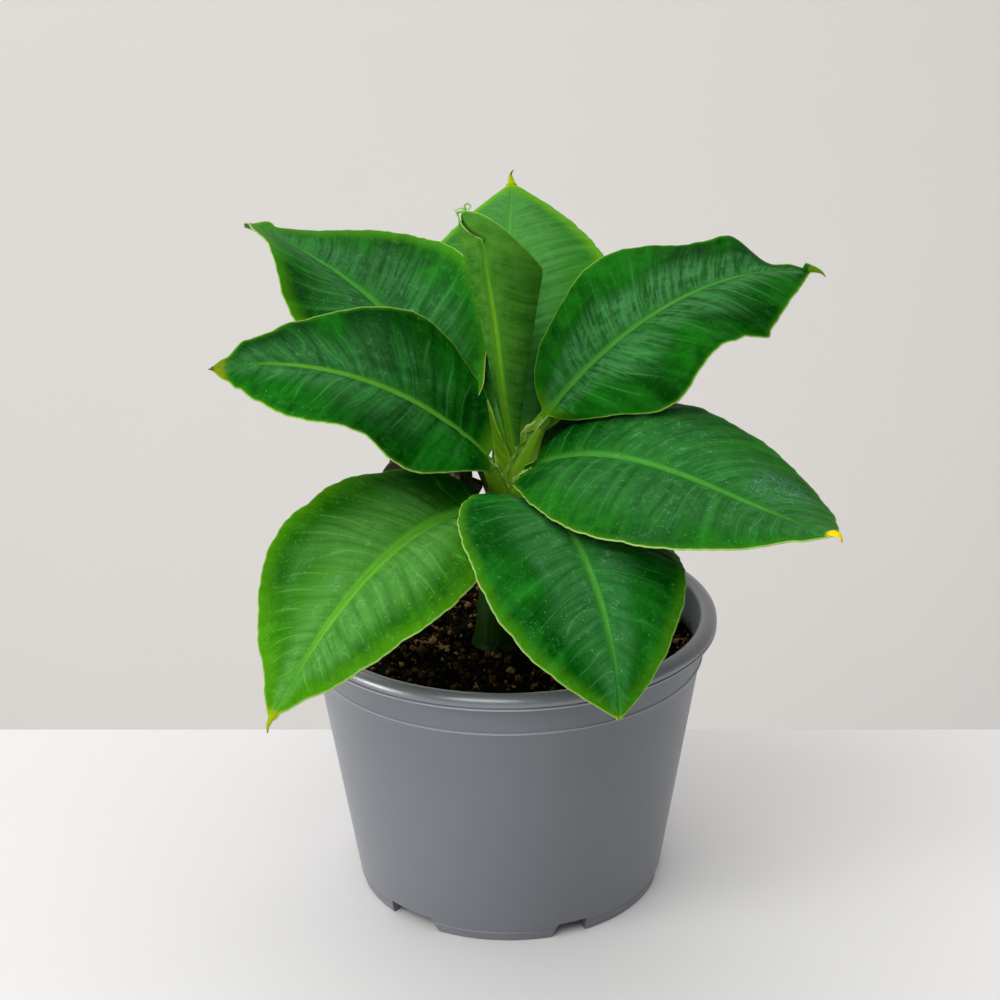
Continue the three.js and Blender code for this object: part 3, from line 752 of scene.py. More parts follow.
def loop_faces(rows, around, capped=True):
    """Faces of a tube whose rows are closed loops, with both ends capped."""
    row, column = np.meshgrid(np.arange(rows - 1), np.arange(around), indexing="ij")
    beside = (column + 1) % around
    sides = np.stack([row * around + column, (row + 1) * around + column,
                      (row + 1) * around + beside, row * around + beside], -1).reshape(-1, 4)
    faces = sides.tolist()
    if capped:
        faces.append(list(range(around)))
        faces.append([(rows - 1) * around + k for k in reversed(range(around))])
    return faces


def thin_sheet(top, bottom):
    """Loops round a thin sheet with rounded side edges, its faces, and a material index for each.

    Top and bottom are grids of rows by columns. Index 0 is the top, 1 the bottom, 2 the edges.
    """
    def edge(last, before):
        outward = unit(top[:, last] - top[:, before])
        middle = (top[:, last] + bottom[:, last]) / 2
        half = (top[:, last] - bottom[:, last]) / 2
        size = np.linalg.norm(half, axis=-1, keepdims=True)
        places = [middle + half * math.cos(a) + outward * size * math.sin(a) for a in EDGE_TURNS]
        return np.stack(places, 1)

    columns = top.shape[1]
    loops = np.concatenate([top, edge(-1, -2), bottom[:, ::-1], edge(0, 1)[:, ::-1]], axis=1)
    rows, around = loops.shape[:2]
    faces = loop_faces(rows, around, capped=False)
    added = len(EDGE_TURNS)
    side = [2] * (added + 1)
    indices = ([0] * (columns - 1) + side + [1] * (columns - 1) + side) * (rows - 1)
    far = columns + added
    for start, turned in ((0, False), ((rows - 1) * around, True)):
        ends = [[k, k + 1, far + columns - 2 - k, far + columns - 1 - k] for k in range(columns - 1)]
        ends.append([columns - 1 + k for k in range(added + 2)])
        ends.append([0] + [around - k for k in range(1, added + 2)])
        for face in ends:
            corners = [start + corner for corner in face]
            faces.append(corners[::-1] if turned else corners)
            indices.append(2)
    return loops, faces, indices


def looped(values):
    """A grid's values carried round the loops of a thin sheet."""
    left = np.repeat(values[:, -1:], len(EDGE_TURNS), axis=1)
    right = np.repeat(values[:, :1], len(EDGE_TURNS), axis=1)
    return np.concatenate([values, left, values[:, ::-1], right], axis=1)


# The leaf's rule


def half_width(leaf, half, share):
    x = np.clip(share, 0, 1)
    widest = leaf["widest"]
    near = np.clip((widest - x) / widest, 0, 1)
    far = np.clip((x - widest) / (1 - widest), 0, 1)
    rising = (1 - near ** leaf["blunt"]) ** (1 / leaf["blunt"])
    falling = 1 - far ** leaf["point"][half]
    return leaf["width"][half] * np.where(x < widest, rising, falling)


def midrib_of(leaf):
    """Places along the midrib, each with its direction and its level side."""
    share = np.linspace(0, 1, MIDRIB_STEPS + 1)
    start = leaf["rise"] * (1 - share) * (1 - 2 * share)
    middle = 4 * leaf["crest"] * share * (1 - share)
    slope = np.radians(start + middle + leaf["fall"] * share * (2 * share - 1))
    heading = np.radians(leaf["heading"] + leaf["turn"] * share)
    level = np.cos(slope)
    along = np.stack([level * np.cos(heading), level * np.sin(heading), np.sin(slope)], -1)
    side = np.stack([np.sin(heading), -np.cos(heading), 0 * heading], -1)
    length = leaf["petiole"] + leaf["blade"]
    moves = (along[1:] + along[:-1]) * (length / MIDRIB_STEPS / 2)
    points = np.array(leaf["start"], float) + np.concatenate([np.zeros((1, 3)), np.cumsum(moves, 0)])
    return dict(at=share * length, point=points, along=along, side=side)


def frame_at(midrib, distance):
    """Point, direction, side and up of the midrib at distances from its start."""
    distance = np.asarray(distance, float)

    def read(name):
        return np.stack([np.interp(distance, midrib["at"], midrib[name][:, k]) for k in range(3)], -1)

    along = unit(read("along"))
    side = unit(read("side"))
    point = read("point") + along * np.minimum(distance, 0)[..., None]
    return point, along, side, np.cross(side, along)


def section_points(frame, half, width, roll, fold, curl, wave, share):
    """One half's cross-section: points and outward directions at shares of its width."""
    point, _, side, up = frame
    sign = 1 if half == RIGHT else -1
    turn = np.radians(roll)[..., None]
    side, up = side * np.cos(turn) + up * np.sin(turn), up * np.cos(turn) - side * np.sin(turn)
    bend = np.radians(curl or LEAST_CURL)
    start = np.radians(fold)
    angle = start + bend * share
    across = width * (np.sin(angle) - np.sin(start)) / bend
    lift = width * (np.cos(start) - np.cos(angle)) / bend + wave * share ** 2
    points = point + sign * across[..., None] * side + lift[..., None] * up
    outward = up * np.cos(angle)[..., None] - sign * side * np.sin(angle)[..., None]
    return points, outward


def side_relief(leaf, half, vein, share, seed):
    """Low corrugation along the side veins, level at the midrib and the margin."""
    draw = np.random.default_rng(seed + half)
    total = np.zeros(np.broadcast(vein, share).shape)
    for period, height in zip(RELIEF_PERIODS, RELIEF_HEIGHTS):
        phase = draw.uniform(0, 2 * math.pi)
        drift = draw.uniform(0.5, 1.5) * np.sin(vein * 0.09 + phase)
        swell = 0.6 + 0.4 * np.sin(vein * 0.05 + 2 * phase)
        total = total + height * swell * np.sin(2 * math.pi * vein / period + drift + phase)
    return total * leaf["relief"] * smooth(share, 0.03, 0.22) * (1 - 0.75 * share ** 2)


def margin_shape(leaf, half, margin, seed):
    """What one margin adds to the plain outline: a faint ripple, and its swells and nicks."""
    from_tip = (1 - margin) * leaf["blade"]
    draw = np.random.default_rng(seed + 50 + half)
    added = np.zeros(margin.shape)
    for period, height in MARGIN_RIPPLES:
        added += height * np.sin(2 * math.pi * from_tip / period + draw.uniform(0, 2 * math.pi))
    added *= smooth(from_tip, 2, 12)
    return added + swells(leaf["margin"], half, from_tip)


def swells(entries, half, from_tip):
    """The sum of one half's soft swells: each has its place from the tip, its reach and its height."""
    added = 0 * from_tip
    for side, at, reach, amount in entries:
        if side == half:
            added += amount * np.exp(-((from_tip - at) / reach) ** 2)
    return added


def blade_half(leaf, midrib, half, row, share, seed):
    """The upper side of one half of the blade, on a grid of rows and shares."""
    margin = np.minimum(1, row + VEIN_LEAN * np.sin(math.pi * row))
    own = half_width(leaf, half, margin)
    whole = leaf["width"][half]
    least = np.where(margin < leaf["widest"], PETIOLE_HALF_WIDTH, TIP_HALF_WIDTH)
    width = (own ** 4 + least ** 4) ** 0.25 + margin_shape(leaf, half, margin, seed)
    fade = np.clip(1 - margin / LOBE_LENGTH, 0, 1) ** 2
    lobe = leaf["lobe"][half] * fade * np.clip(own / whole / LOBE_WIDTH, 0, 1)
    reach = mix(leaf["blade"] * row, leaf["blade"] * margin - lobe, share ** VEIN_BEND)
    x = reach / leaf["blade"]
    frame = frame_at(midrib, leaf["petiole"] + reach)
    ripple = np.sin(2 * math.pi * (leaf["waves"] * x + leaf["phase"][half]))
    wave = leaf["wave"][half] * ripple * (own / whole) ** 2
    wave = wave + swells(leaf["bends"], half, (1 - x) * leaf["blade"])
    roll = mix(leaf["roll"], leaf["rollTip"], x)
    fold = mix(leaf["fold"][half], leaf["foldTip"][half], x)
    points, outward = section_points(frame, half, width, roll, fold, leaf["curl"][half], wave, share)
    vein = leaf["blade"] * row + 0 * share
    height = side_relief(leaf, half, vein, share, seed) * np.clip(own / whole, 0, 1)
    return dict(points=points + outward * height[..., None], outward=outward, reach=reach,
                width=width + 0 * share, vein=vein)


def petiole_half(leaf, midrib, half, distance, share):
    x = np.clip(distance / leaf["petiole"], 0, 1)
    width = mix(SHEATH_HALF_WIDTH, PETIOLE_HALF_WIDTH, x)
    fold = mix(PETIOLE_FOLD, leaf["fold"][half], x)
    grid = distance + 0 * share
    frame = frame_at(midrib, grid)
    points, outward = section_points(frame, half, width, leaf["roll"] + 0 * grid, fold + 0 * grid, 0,
                                     0 * grid, share)
    return dict(points=points, outward=outward, reach=grid - leaf["petiole"], width=width + 0 * share,
                vein=grid - leaf["petiole"])


def both_parts(petiole, blade):
    return {key: np.concatenate([petiole[key], blade[key]]) for key in petiole}


def crowded_shares():
    return (np.arange(HALF_COLUMNS + 1) / HALF_COLUMNS) ** COLUMN_CROWDING


def blade_rows():
    """Rows of the blade, closer together at its tip."""
    body = np.linspace(0.004, 1 - TIP_PART, BLADE_ROWS)
    return np.concatenate([body, 1 - TIP_PART * (1 - np.linspace(0, 1, TIP_ROWS + 1)[1:]) ** 1.5])


def leaf_surfaces(leaf, seed):
    """Both halves joined from the right margin to the left: the leaf's upper side."""
    midrib = midrib_of(leaf)
    share = crowded_shares()[None, :]
    stalk = np.linspace(leaf["gutter"], leaf["petiole"] * 0.98, PETIOLE_ROWS)[:, None]
    rows = blade_rows()[:, None]
    halves = []
    for half in (RIGHT, LEFT):
        petiole = petiole_half(leaf, midrib, half, stalk, share)
        halves.append(both_parts(petiole, blade_half(leaf, midrib, half, rows, share, seed)))
    right, left = halves
    joined = {key: np.concatenate([right[key][:, :0:-1], left[key]], axis=1) for key in right}
    middle = HALF_COLUMNS
    joined["outward"][:, middle] = unit(right["outward"][:, 0] + left["outward"][:, 0])
    joined["share"] = np.concatenate([-share[:, :0:-1], share], axis=1) + 0 * joined["reach"]
    bent = smooth(joined["reach"] / leaf["blade"], 1 - 2 * TIP_PART, 1)[..., None]
    joined["points"] = joined["points"] + bent * np.array(leaf["droop"])
    joined["across"] = joined["share"] * joined["width"]
    joined["rim"] = joined["width"] - np.abs(joined["across"])
    return joined


def rib_shape(leaf, surface):
    """How deep the channel over the midrib is, and how far the rib stands out below."""
    x = np.clip(surface["reach"] / leaf["blade"], 0, 1)
    half = mix(RIB_HALF_WIDTH_AT_BASE, RIB_HALF_WIDTH_AT_TIP, x ** 0.8)
    off = np.abs(surface["across"]) / half
    channel = -mix(*CHANNEL_DEPTHS, x) * np.clip(1 - off ** 2, 0, 1) ** 2
    lip = mix(*CHANNEL_LIPS, x) * np.exp(-((off - 1.25) / 0.35) ** 2)
    below = mix(RIB_DEPTH_AT_BASE, RIB_DEPTH_AT_TIP, x) * np.sqrt(np.clip(1 - (off / 1.1) ** 2, 0, 1))
    stalk = smooth(-surface["reach"], -8, 4)
    gutter = np.sqrt(np.clip(1 - (np.abs(surface["share"])) ** 2.4, 0, 1)) * PETIOLE_DEPTH
    return channel + lip * (1 - stalk), mix(below, gutter, stalk)


def leaf_sheet(leaf, surface):
    """Upper side with its channel and underside with its rib."""
    channel, below = rib_shape(leaf, surface)
    outward = surface["outward"]
    thick = mix(BLADE_THICKNESS, EDGE_THICKNESS, np.abs(surface["share"]) ** 9)
    top = surface["points"] + outward * (channel + (thick - BLADE_THICKNESS) / 2)[..., None]
    bottom = surface["points"] - outward * (thick + below)[..., None]
    return top, bottom


def sheet_places(surface):
    """What the leaf's finishes read: place on the blade, and place along its veins."""
    place = np.stack([surface["reach"], surface["across"], surface["rim"]], -1)
    vein = np.stack([surface["vein"], surface["share"], 0 * surface["share"]], -1)
    return flat_list(looped(place)), flat_list(looped(vein))


def tip_strip(leaf, surface):
    """The withered end of the midrib, a narrow strip that twists off the tip."""
    tip = leaf["tip"]
    middle = HALF_COLUMNS
    along = unit(surface["points"][-1, middle] - surface["points"][-8, middle])
    up = unit(surface["outward"][-8, middle])
    ends = [along, unit(np.array(tip["middle"], float)), unit(np.array(tip["end"], float))]
    turn = math.radians(tip.get("turn", 0))
    point = surface["points"][-1, middle] - along * STRIP_ROOT - up * 0.3 + (0, 0, tip.get("lift", 0))
    length = tip["length"] + STRIP_ROOT
    turns = whole_turn(STRIP_SIDES)
    loops, place = [], []
    for share in np.linspace(0, 1, STRIP_ROWS):
        bend = max(0.0, (share * length - STRIP_ROOT) / tip["length"])
        forward = unit(ends[0] * (1 - bend) ** 2 + 2 * ends[1] * bend * (1 - bend) + ends[2] * bend ** 2)
        side = unit(np.cross(forward, up + 0.2 * ends[1]))
        side = side * math.cos(turn) + np.cross(side, forward) * math.sin(turn)
        normal = np.cross(side, forward)
        wide = tip["width"] * (1 - share) ** 1.1 + 0.22
        flat = min(wide, 0.3 + 0.25 * wide)
        loops.append(point + wide * np.cos(turns)[:, None] * side + flat * np.sin(turns)[:, None] * normal)
        reach = leaf["blade"] + share * length - STRIP_ROOT
        place.append([[reach, wide * math.cos(t), wide * (1 - abs(math.cos(t)))] for t in turns])
        point = point + forward * (length / (STRIP_ROWS - 1))
    return flat_list(loops), loop_faces(STRIP_ROWS, STRIP_SIDES), flat_list(place)


def build_leaf(name, leaf, look, surface):
    loops, faces, indices = thin_sheet(*leaf_sheet(leaf, surface))
    place, vein = sheet_places(surface)
    gather = Gather("blade_place", "vein_place")
    gather.add(flat_list(loops), faces, indices, blade_place=place, vein_place=vein)
    if leaf["tip"]:
        points, faces, place = tip_strip(leaf, surface)
        gather.add(points, faces, [0] * len(faces), blade_place=place)
    materials = [
        leaf_top_finish(name + "_upper_side", look),
        leaf_under_finish(name + "_underside", look),
        leaf_edge_finish(name + "_edge", look),
    ]
    return gather.piece(name + "_blade", materials)


def seen(points):
    """Where points show in the picture, in pixels from its middle, and how far away they are."""
    right, up, forward = (np.array(axis) for axis in camera_frame())
    offset = points - np.array(CAMERA_AT)
    far = offset @ forward
    focal = CAMERA_LENS / CAMERA_SENSOR * PICTURE_SIDE
    return np.stack([offset @ right, -(offset @ up)], -1) * (focal / far)[..., None], far


def softened(field, rows, columns):
    """A field widened a little and then smoothed over the blade's grid."""
    for smoothing in (np.max, np.mean, np.mean):
        for axis, reach in ((0, rows), (1, columns)):
            pad = [(reach, reach) if k == axis else (0, 0) for k in (0, 1)]
            padded = np.pad(field, pad, mode="edge")
            size = field.shape[axis]
            shifts = [np.take(padded, range(k, k + size), axis=axis) for k in range(2 * reach + 1)]
            field = smoothing(shifts, axis=0)
    return field


def bend_behind(surface, front):
    """Bend a blade back wherever it would lie in front of its neighbour, or pass through it."""
    front_place, front_far = seen(front["points"])
    tree = KDTree(front_far.size)
    flat_far = front_far.ravel()
    for index, (x, y) in enumerate(front_place.reshape(-1, 2).tolist()):
        tree.insert((x, y, 0), index)
    tree.balance()
    place, far = seen(surface["points"])
    push = np.zeros(far.size)
    for index, (x, y) in enumerate(place.reshape(-1, 2).tolist()):
        _, nearest, distance = tree.find((x, y, 0))
        if distance < BEHIND_FADE:
            needed = flat_far[nearest] + BEHIND_GAP - far.flat[index]
            push[index] = max(0.0, needed) * (1 - smooth(distance, BEHIND_NEAR, BEHIND_FADE))
    push = softened(push.reshape(far.shape), *BEHIND_SOFTENING) * smooth(surface["reach"], -6, 14)
    ray = (surface["points"] - np.array(CAMERA_AT)) / far[..., None]
    surface["points"] = surface["points"] + ray * push[..., None]


# What a leaf's finishes are made from: its colours, then how wide or strong each of them is. The
# film is the waxy bloom with a painted sheen laid into its colour; shade is painted shade towards
# the foot; shade, marks and tip lengths are in millimetres along the blade
GREEN_LEAF = dict(
    deep=(0.0, 0.038, 0.0), light=(0.006, 0.125, 0.003), bloom_and_sheen=(0.042, 0.19, 0.05),
    dust=(0.13, 0.38, 0.17), vein=(0.05, 0.27, 0.06), rib=(0.03, 0.225, 0.012),
    rib_pale=(0.085, 0.31, 0.05), rim=(0.04, 0.2, 0.001), petiole=(0.085, 0.27, 0.004),
    under=(0.06, 0.2, 0.035), under_deep=(0.02, 0.11, 0.014), edge=(0.17, 0.36, 0.04),
    edge_pale=(0.42, 0.54, 0.17), tip=(0.3, 0.3, 0.001), dry=(0.09, 0.05, 0.015), rib_width=2.9,
    rim_width=2.2, rim_strength=0.45, vein_gap=8.6, film=0.75, film_reach=0.75,
    film_from=(-0.6, -0.4), mottle=0.4, groove=0.5, streaks=0.55, specks=0.4, hem=0.8, gloss=0.36,
    shine=0.02, tip_yellow=6.0, tip_dry=-1.0, tip_strength=0.8, tip_round=0.0, seed=1.0,
)

LOOKS = {
    "leaf_upper_right": dict(
        seed=11.0, film=0.95, film_reach=0.62, mottle=0.22, streaks=0.75, specks=0.2,
        tip=(0.16, 0.34, 0.003), tip_yellow=2.0, tip_dry=-8.5,
    ),
    "leaf_mid_left": dict(
        seed=23.0, light=(0.006, 0.135, 0.004), film_from=(0.1, 0.55), rib=(0.07, 0.27, 0.008),
        rib_pale=(0.12, 0.36, 0.04), rib_width=4.4, tip=(0.2, 0.26, 0.002), tip_yellow=9.0,
        dry=(0.05, 0.02, 0.005), tip_dry=1.2,
    ),
    "leaf_upper_left": dict(
        seed=37.0, light=(0.016, 0.18, 0.01), mottle=0.5, rim=(0.065, 0.29, 0.002), rim_width=8.0,
        rim_strength=0.6, tip_strength=0.3,
    ),
    # leaf_right's dark petiole colour is painted shade in the gutter between its halves
    "leaf_right": dict(
        seed=41.0, deep=(0.0, 0.06, 0.001), light=(0.014, 0.165, 0.006), film=0.5, film_reach=0.9,
        film_from=(0.0, 0.35), mottle=0.5, streaks=0.4, specks=0.5, marks=(118.0, 20.0, 18.0),
        rim_width=4.0, petiole=(0.008, 0.06, 0.001), tip=(0.85, 0.62, 0.002), tip_yellow=8.0,
        tip_round=0.9, tip_strength=1.0, dry=(0.45, 0.16, 0.01), tip_dry=-3.0,
    ),
    # leaf_back's deep, light and bloom colours are lighter than the other leaves' as painted light shining
    # through the blade from behind; its shade is painted shade towards its foot
    "leaf_back": dict(
        seed=53.0, deep=(0.012, 0.13, 0.003), light=(0.045, 0.24, 0.02), bloom_and_sheen=(0.1, 0.33, 0.08),
        shade=(26.0, 76.0), shaded=(0.004, 0.055, 0.003), film=0.5, streaks=0.4, groove=0.3,
        specks=0.1, rib=(0.06, 0.27, 0.02), rim=(0.12, 0.38, 0.001), rim_width=9.0,
        rim_strength=0.85, hem=0.3, tip=(0.34, 0.45, 0.001), tip_yellow=8.0,
        dry=(0.04, 0.07, 0.015), tip_dry=-5.0,
    ),
    # Painted shade towards the foot of this mostly hidden leaf
    "leaf_back_right": dict(seed=67.0, film=0.3, shade=(40.0, 110.0), shaded=(0.004, 0.05, 0.003)),
    "leaf_lower_front": dict(
        seed=71.0, deep=(0.0, 0.06, 0.001), light=(0.01, 0.16, 0.008), film=0.7, film_reach=0.56,
        mottle=0.6, streaks=0.4, specks=0.5, rim=(0.08, 0.3, 0.001), rim_width=6.0,
        tip=(0.3, 0.34, 0.002), tip_yellow=3.0, tip_strength=0.5,
    ),
    "leaf_lower_left": dict(
        seed=83.0, deep=(0.006, 0.09, 0.001), light=(0.036, 0.2, 0.004), bloom_and_sheen=(0.095, 0.32, 0.055),
        dust=(0.25, 0.5, 0.2), vein=(0.13, 0.4, 0.06), film_from=(0.0, 0.3), film_reach=0.72,
        mottle=0.6, groove=0.35, streaks=0.3, specks=0.35, rib=(0.08, 0.34, 0.012),
        rib_pale=(0.14, 0.44, 0.04), rib_width=4.6, rim=(0.1, 0.36, 0.001), rim_width=8.0,
        rim_strength=0.38, petiole=(0.01, 0.09, 0.002), tip=(0.3, 0.38, 0.002), tip_yellow=7.0,
        tip_dry=-4.0,
    ),
}

DRIED_LEAF = dict(
    GREEN_LEAF, deep=(0.012, 0.008, 0.005), light=(0.05, 0.03, 0.015), bloom_and_sheen=(0.07, 0.045, 0.02),
    vein=(0.06, 0.04, 0.02), rib=(0.05, 0.035, 0.015), rib_pale=(0.09, 0.06, 0.03),
    rim=(0.03, 0.02, 0.01), petiole=(0.05, 0.04, 0.015), under=(0.05, 0.03, 0.015),
    under_deep=(0.012, 0.008, 0.005), edge=(0.05, 0.03, 0.015), edge_pale=(0.08, 0.05, 0.02),
    gloss=0.6, film=0.2, specks=0.0, tip_strength=0.0, hem=0.3,
)


ROLLED_LEAF = dict(
    GREEN_LEAF, length=ROLL_SPAN, seed=91.0, deep=(0.012, 0.11, 0.002), light=(0.06, 0.22, 0.014),
    bloom_and_sheen=(0.1, 0.27, 0.055), vein=(0.07, 0.25, 0.02), rib=(0.09, 0.27, 0.006),
    rib_pale=(0.13, 0.33, 0.02), rim=(0.1, 0.32, 0.02), petiole=(0.02, 0.14, 0.002),
    edge=(0.16, 0.42, 0.05), edge_pale=(0.35, 0.6, 0.14), rib_width=2.2, rim_width=1.6, film=0.25,
    specks=0.0, gloss=0.4, tip_strength=0.0,
)
LEAF_SLOTS = {"dry_leaf": "dry_leaf", "leaf_back": "young_leaf"}


def build_leaves():
    leaves = {name: {**ORDINARY_LEAF, **own} for name, own in LEAVES.items()}
    surfaces = {name: leaf_surfaces(leaf, 100 + 10 * k) for k, (name, leaf) in enumerate(leaves.items())}
    for name, fronts in BEHIND.items():
        for front in fronts:
            bend_behind(surfaces[name], surfaces[front])
    for name, leaf in leaves.items():
        base = DRIED_LEAF if name == "dry_leaf" else GREEN_LEAF
        look = {**base, "length": leaf["blade"], **LOOKS.get(name, {})}
        piece = build_leaf(name, leaf, look, surfaces[name])
        place_piece(piece, LEAF_SLOTS.get(name, "leaf"), name)


# Rolled leaf


def around_roll(height, radius, angle):
    """Sideways and forward place of points round the roll's middle line."""
    heights, _, middles = zip(*ROLL_WIDTHS)
    x = eased(height, heights, middles) + radius * np.cos(angle)
    return x, -1 + ROLL_DEPTH * radius * np.sin(angle)


def roll_radius(height):
    heights, widths, _ = zip(*ROLL_WIDTHS)
    return eased(height, heights, widths)


def eased(value, places, amounts):
    """Amounts between given places, joined without corners."""
    value, places, amounts = (np.asarray(part, float) for part in (value, places, amounts))
    slopes = np.gradient(amounts, places)
    index = np.clip(np.searchsorted(places, value) - 1, 0, len(places) - 2)
    span = places[index + 1] - places[index]
    t = np.clip((value - places[index]) / span, 0, 1)
    rise = 3 * t ** 2 - 2 * t ** 3
    start = t * (1 - t) ** 2 * span * slopes[index]
    end = t ** 2 * (1 - t) * span * slopes[index + 1]
    return mix(amounts[index], amounts[index + 1], rise) + start - end


def rolled_sheet(sheet):
    """Outer and inner side of one sheet of the roll, with places for the finishes."""
    heading = np.linspace(sheet["start"], sheet["end"], ROLL_COLUMNS)[None, :]
    row = np.linspace(0, 1, ROLL_ROWS)[:, None]
    outermost = sheet["inset"] == 0
    headings, tops = zip(*sorted(sheet["top"]))
    top = eased(heading, headings, tops)
    height = mix(ROLL_FOOT_Z, top, row)
    share = (height - ROLL_FOOT_Z) / ROLL_SPAN
    radius = roll_radius(height) - sheet["inset"] * smooth(share, 0, 0.25) - ROLL_SKIN
    from_seam = np.radians(np.abs(heading - ROLL_SHEETS[0]["start"])) * radius
    from_edge = np.radians(np.abs(heading - sheet["start"])) * radius
    if outermost:
        from_end = np.radians(np.abs(heading - sheet["end"])) * radius
        sunk = (1 - smooth(from_edge, 0, 1.7)) * (1 - 0.9 * smooth(row, 0.95, 1))
        sunk = np.maximum(sunk, 1 - smooth(from_end, 0, 2.0)) * ROLL_SEAM_DEPTH
        bead = 0.25 * np.exp(-((from_seam - 1.8) / 1.3) ** 2)
        radius = radius + bead - sunk * smooth(share, 0, 0.12)
        lip = smooth(heading, 185, 200) * np.exp(-(1 - row) * (height - ROLL_FOOT_Z) / 2.2)
        radius = radius + ROLL_LIP * lip
    radius = radius + 0.07 * np.sin(height * 0.9 + heading * 0.06) * smooth(share, 0.1, 0.3)
    angle = np.radians(heading)
    outer = np.stack([*around_roll(height, radius, angle), height + 0 * angle], -1)
    outward = np.stack([np.cos(angle), np.sin(angle), 0 * angle], -1)
    reach = height - ROLL_FOOT_Z + 0 * from_seam
    rim = np.minimum(from_edge if outermost else from_edge + 9, (1 - row) * (top - ROLL_FOOT_Z))
    place = np.stack([reach, from_seam, rim], -1)
    vein = np.stack([reach + 0.35 * from_seam, from_seam / 40, 0 * reach], -1)
    return outer, outer - outward * BLADE_THICKNESS, place, vein


def strand(path, thickness, around=8):
    """A thin cord along a path, tapering to its end."""
    path = np.array(path, float)
    share = np.linspace(0, len(path) - 1, 6 * len(path))
    points = np.stack([eased(share, range(len(path)), path[:, k]) for k in range(3)], -1)
    along = unit(np.gradient(points, axis=0))
    side = unit(np.cross(along, [0.3, -0.9, 0.2]))
    normal = np.cross(side, along)
    size = thickness * (1 - 0.8 * share / share[-1])
    turns = whole_turn(around)
    ring = np.cos(turns)[None, :, None] * side[:, None] + np.sin(turns)[None, :, None] * normal[:, None]
    loops = points[:, None] + ring * size[:, None, None]
    return flat_list(loops), loop_faces(len(points), around)


def roll_point(heading, height, proud):
    """A place on the roll's outside."""
    radius = roll_radius(height) - ROLL_SKIN + proud
    x, y = around_roll(height, radius, math.radians(heading))
    return float(x), float(y), height


def build_rolled_leaf():
    gather = Gather("blade_place", "vein_place")
    for sheet in ROLL_SHEETS:
        outer, inner, place, vein = rolled_sheet(sheet)
        if sheet["end"] > sheet["start"]:
            outer, inner, place, vein = (grid[:, ::-1] for grid in (outer, inner, place, vein))
        loops, faces, indices = thin_sheet(outer, inner)
        gather.add(flat_list(loops), faces, indices, blade_place=flat_list(looped(place)),
                   vein_place=flat_list(looped(vein)))
    for start, path, thickness, finish in ROLL_CORDS:
        points, faces = strand([roll_point(*place) for place in start] + list(path), thickness)
        gather.add(points, faces, [finish] * len(faces))
    inside = {**ROLLED_LEAF, "deep": (0.05, 0.24, 0.008), "seed": 97.0}
    materials = [
        leaf_top_finish("rolled_leaf_outside", ROLLED_LEAF),
        leaf_top_finish("rolled_leaf_inside", inside),
        leaf_edge_finish("rolled_leaf_edge", ROLLED_LEAF),
        dry_finish("rolled_leaf_lip", (0.09, 0.04, 0.01), (0.3, 0.33, 0.08)),
    ]
    place_piece(gather.piece("rolled_leaf_cone", materials), "young_leaf", "leaf_center")


# Pseudostem


def stem_axis(height):
    share = (height - STEM_WIDTHS[0][0]) / (STEM_WIDTHS[-1][0] - STEM_WIDTHS[0][0])
    return mix(STEM_FOOT[0], STEM_TIP[0], share), mix(STEM_FOOT[1], STEM_TIP[1], share)


def stem_radius(height):
    heights, radii = zip(*STEM_WIDTHS)
    return np.interp(height, heights, radii)


# Each leaf's clasping base: a tube out of the stem that narrows into the petiole's gutter.
# Foot: where its middle line starts in the stem. Rise and lead: how far it keeps the stem's and
# the petiole's direction. Reach: where it ends, along the petiole. Half: its half-widths from foot
# to end. Wings: the widths of its left and right skin. Finish: 2 is the dead sheath
SLEEVES = (
    dict(leaf="leaf_upper_right", foot=(0.2, -2.4, 174), rise=27, reach=22, lead=11,
         half=(5.0, 6.4, 6.9, 6.2, 4.4, 2.5), wings=(1.2, 2.6)),
    dict(leaf="leaf_mid_left", foot=(0.3, -1.8, 166), rise=21, reach=15, lead=6,
         half=(5.2, 5.3, 5.0, 4.4, 3.8, 2.7), wings=(1.5, 0.6)),
    dict(leaf="leaf_upper_left", foot=(-0.5, 1.0, 152), rise=32, reach=12, lead=5,
         half=(5.0, 4.4, 3.6, 3.1, 2.8, 2.4), wings=(0.5, 0.5), finish=2),
    dict(leaf="leaf_right", foot=(0.0, -1.0, 160), rise=20, reach=14, lead=7,
         half=(5.4, 5.4, 5.0, 4.4, 3.6, 2.6), wings=(0.6, 0.9)),
    dict(leaf="leaf_back", foot=(-1.5, 1.5, 160), rise=20, reach=12, lead=7,
         half=(6.4, 6.6, 6.0, 4.8, 3.9, 2.6), wings=(0.9, 0.9)),
    dict(leaf="leaf_back_right", foot=(-1.5, 1.0, 152), rise=20, reach=12, lead=7,
         half=(7.0, 7.2, 6.4, 5.0, 3.9, 2.6), wings=(0.8, 0.8)),
    dict(leaf="leaf_lower_front", foot=(-1.4, -1.2, 146), rise=20, reach=14, lead=9,
         half=(7.6, 7.2, 6.2, 4.8, 3.8, 2.6), wings=(0.8, 0.8)),
    dict(leaf="leaf_lower_left", foot=(-1.4, -1.2, 134), rise=20, reach=9, lead=7,
         half=(8.8, 8.2, 6.4, 4.8, 3.6, 2.4), wings=(0.8, 0.8)),
)
SLEEVE_ROWS = 90
SLEEVE_SIDES = 56
SLEEVE_GROOVE = 0.72
WING_COLUMNS = 7
# The free skin at the fork: places along its left and its right margin, from foot to end
FORK_SKIN_LEFT = ((-4.2, -3.0, 192), (-5.2, -1.0, 205), (-6.6, 2.6, 218), (-8.4, 6.0, 229))
FORK_SKIN_RIGHT = ((2.6, -3.6, 197), (1.4, -4.6, 207), (-2.7, -4.2, 217), (-8.0, 5.6, 230))
FORK_SKIN_BULGE = 0.9
FORK_SKIN_ROWS = 50
FORK_SKIN_COLUMNS = 24
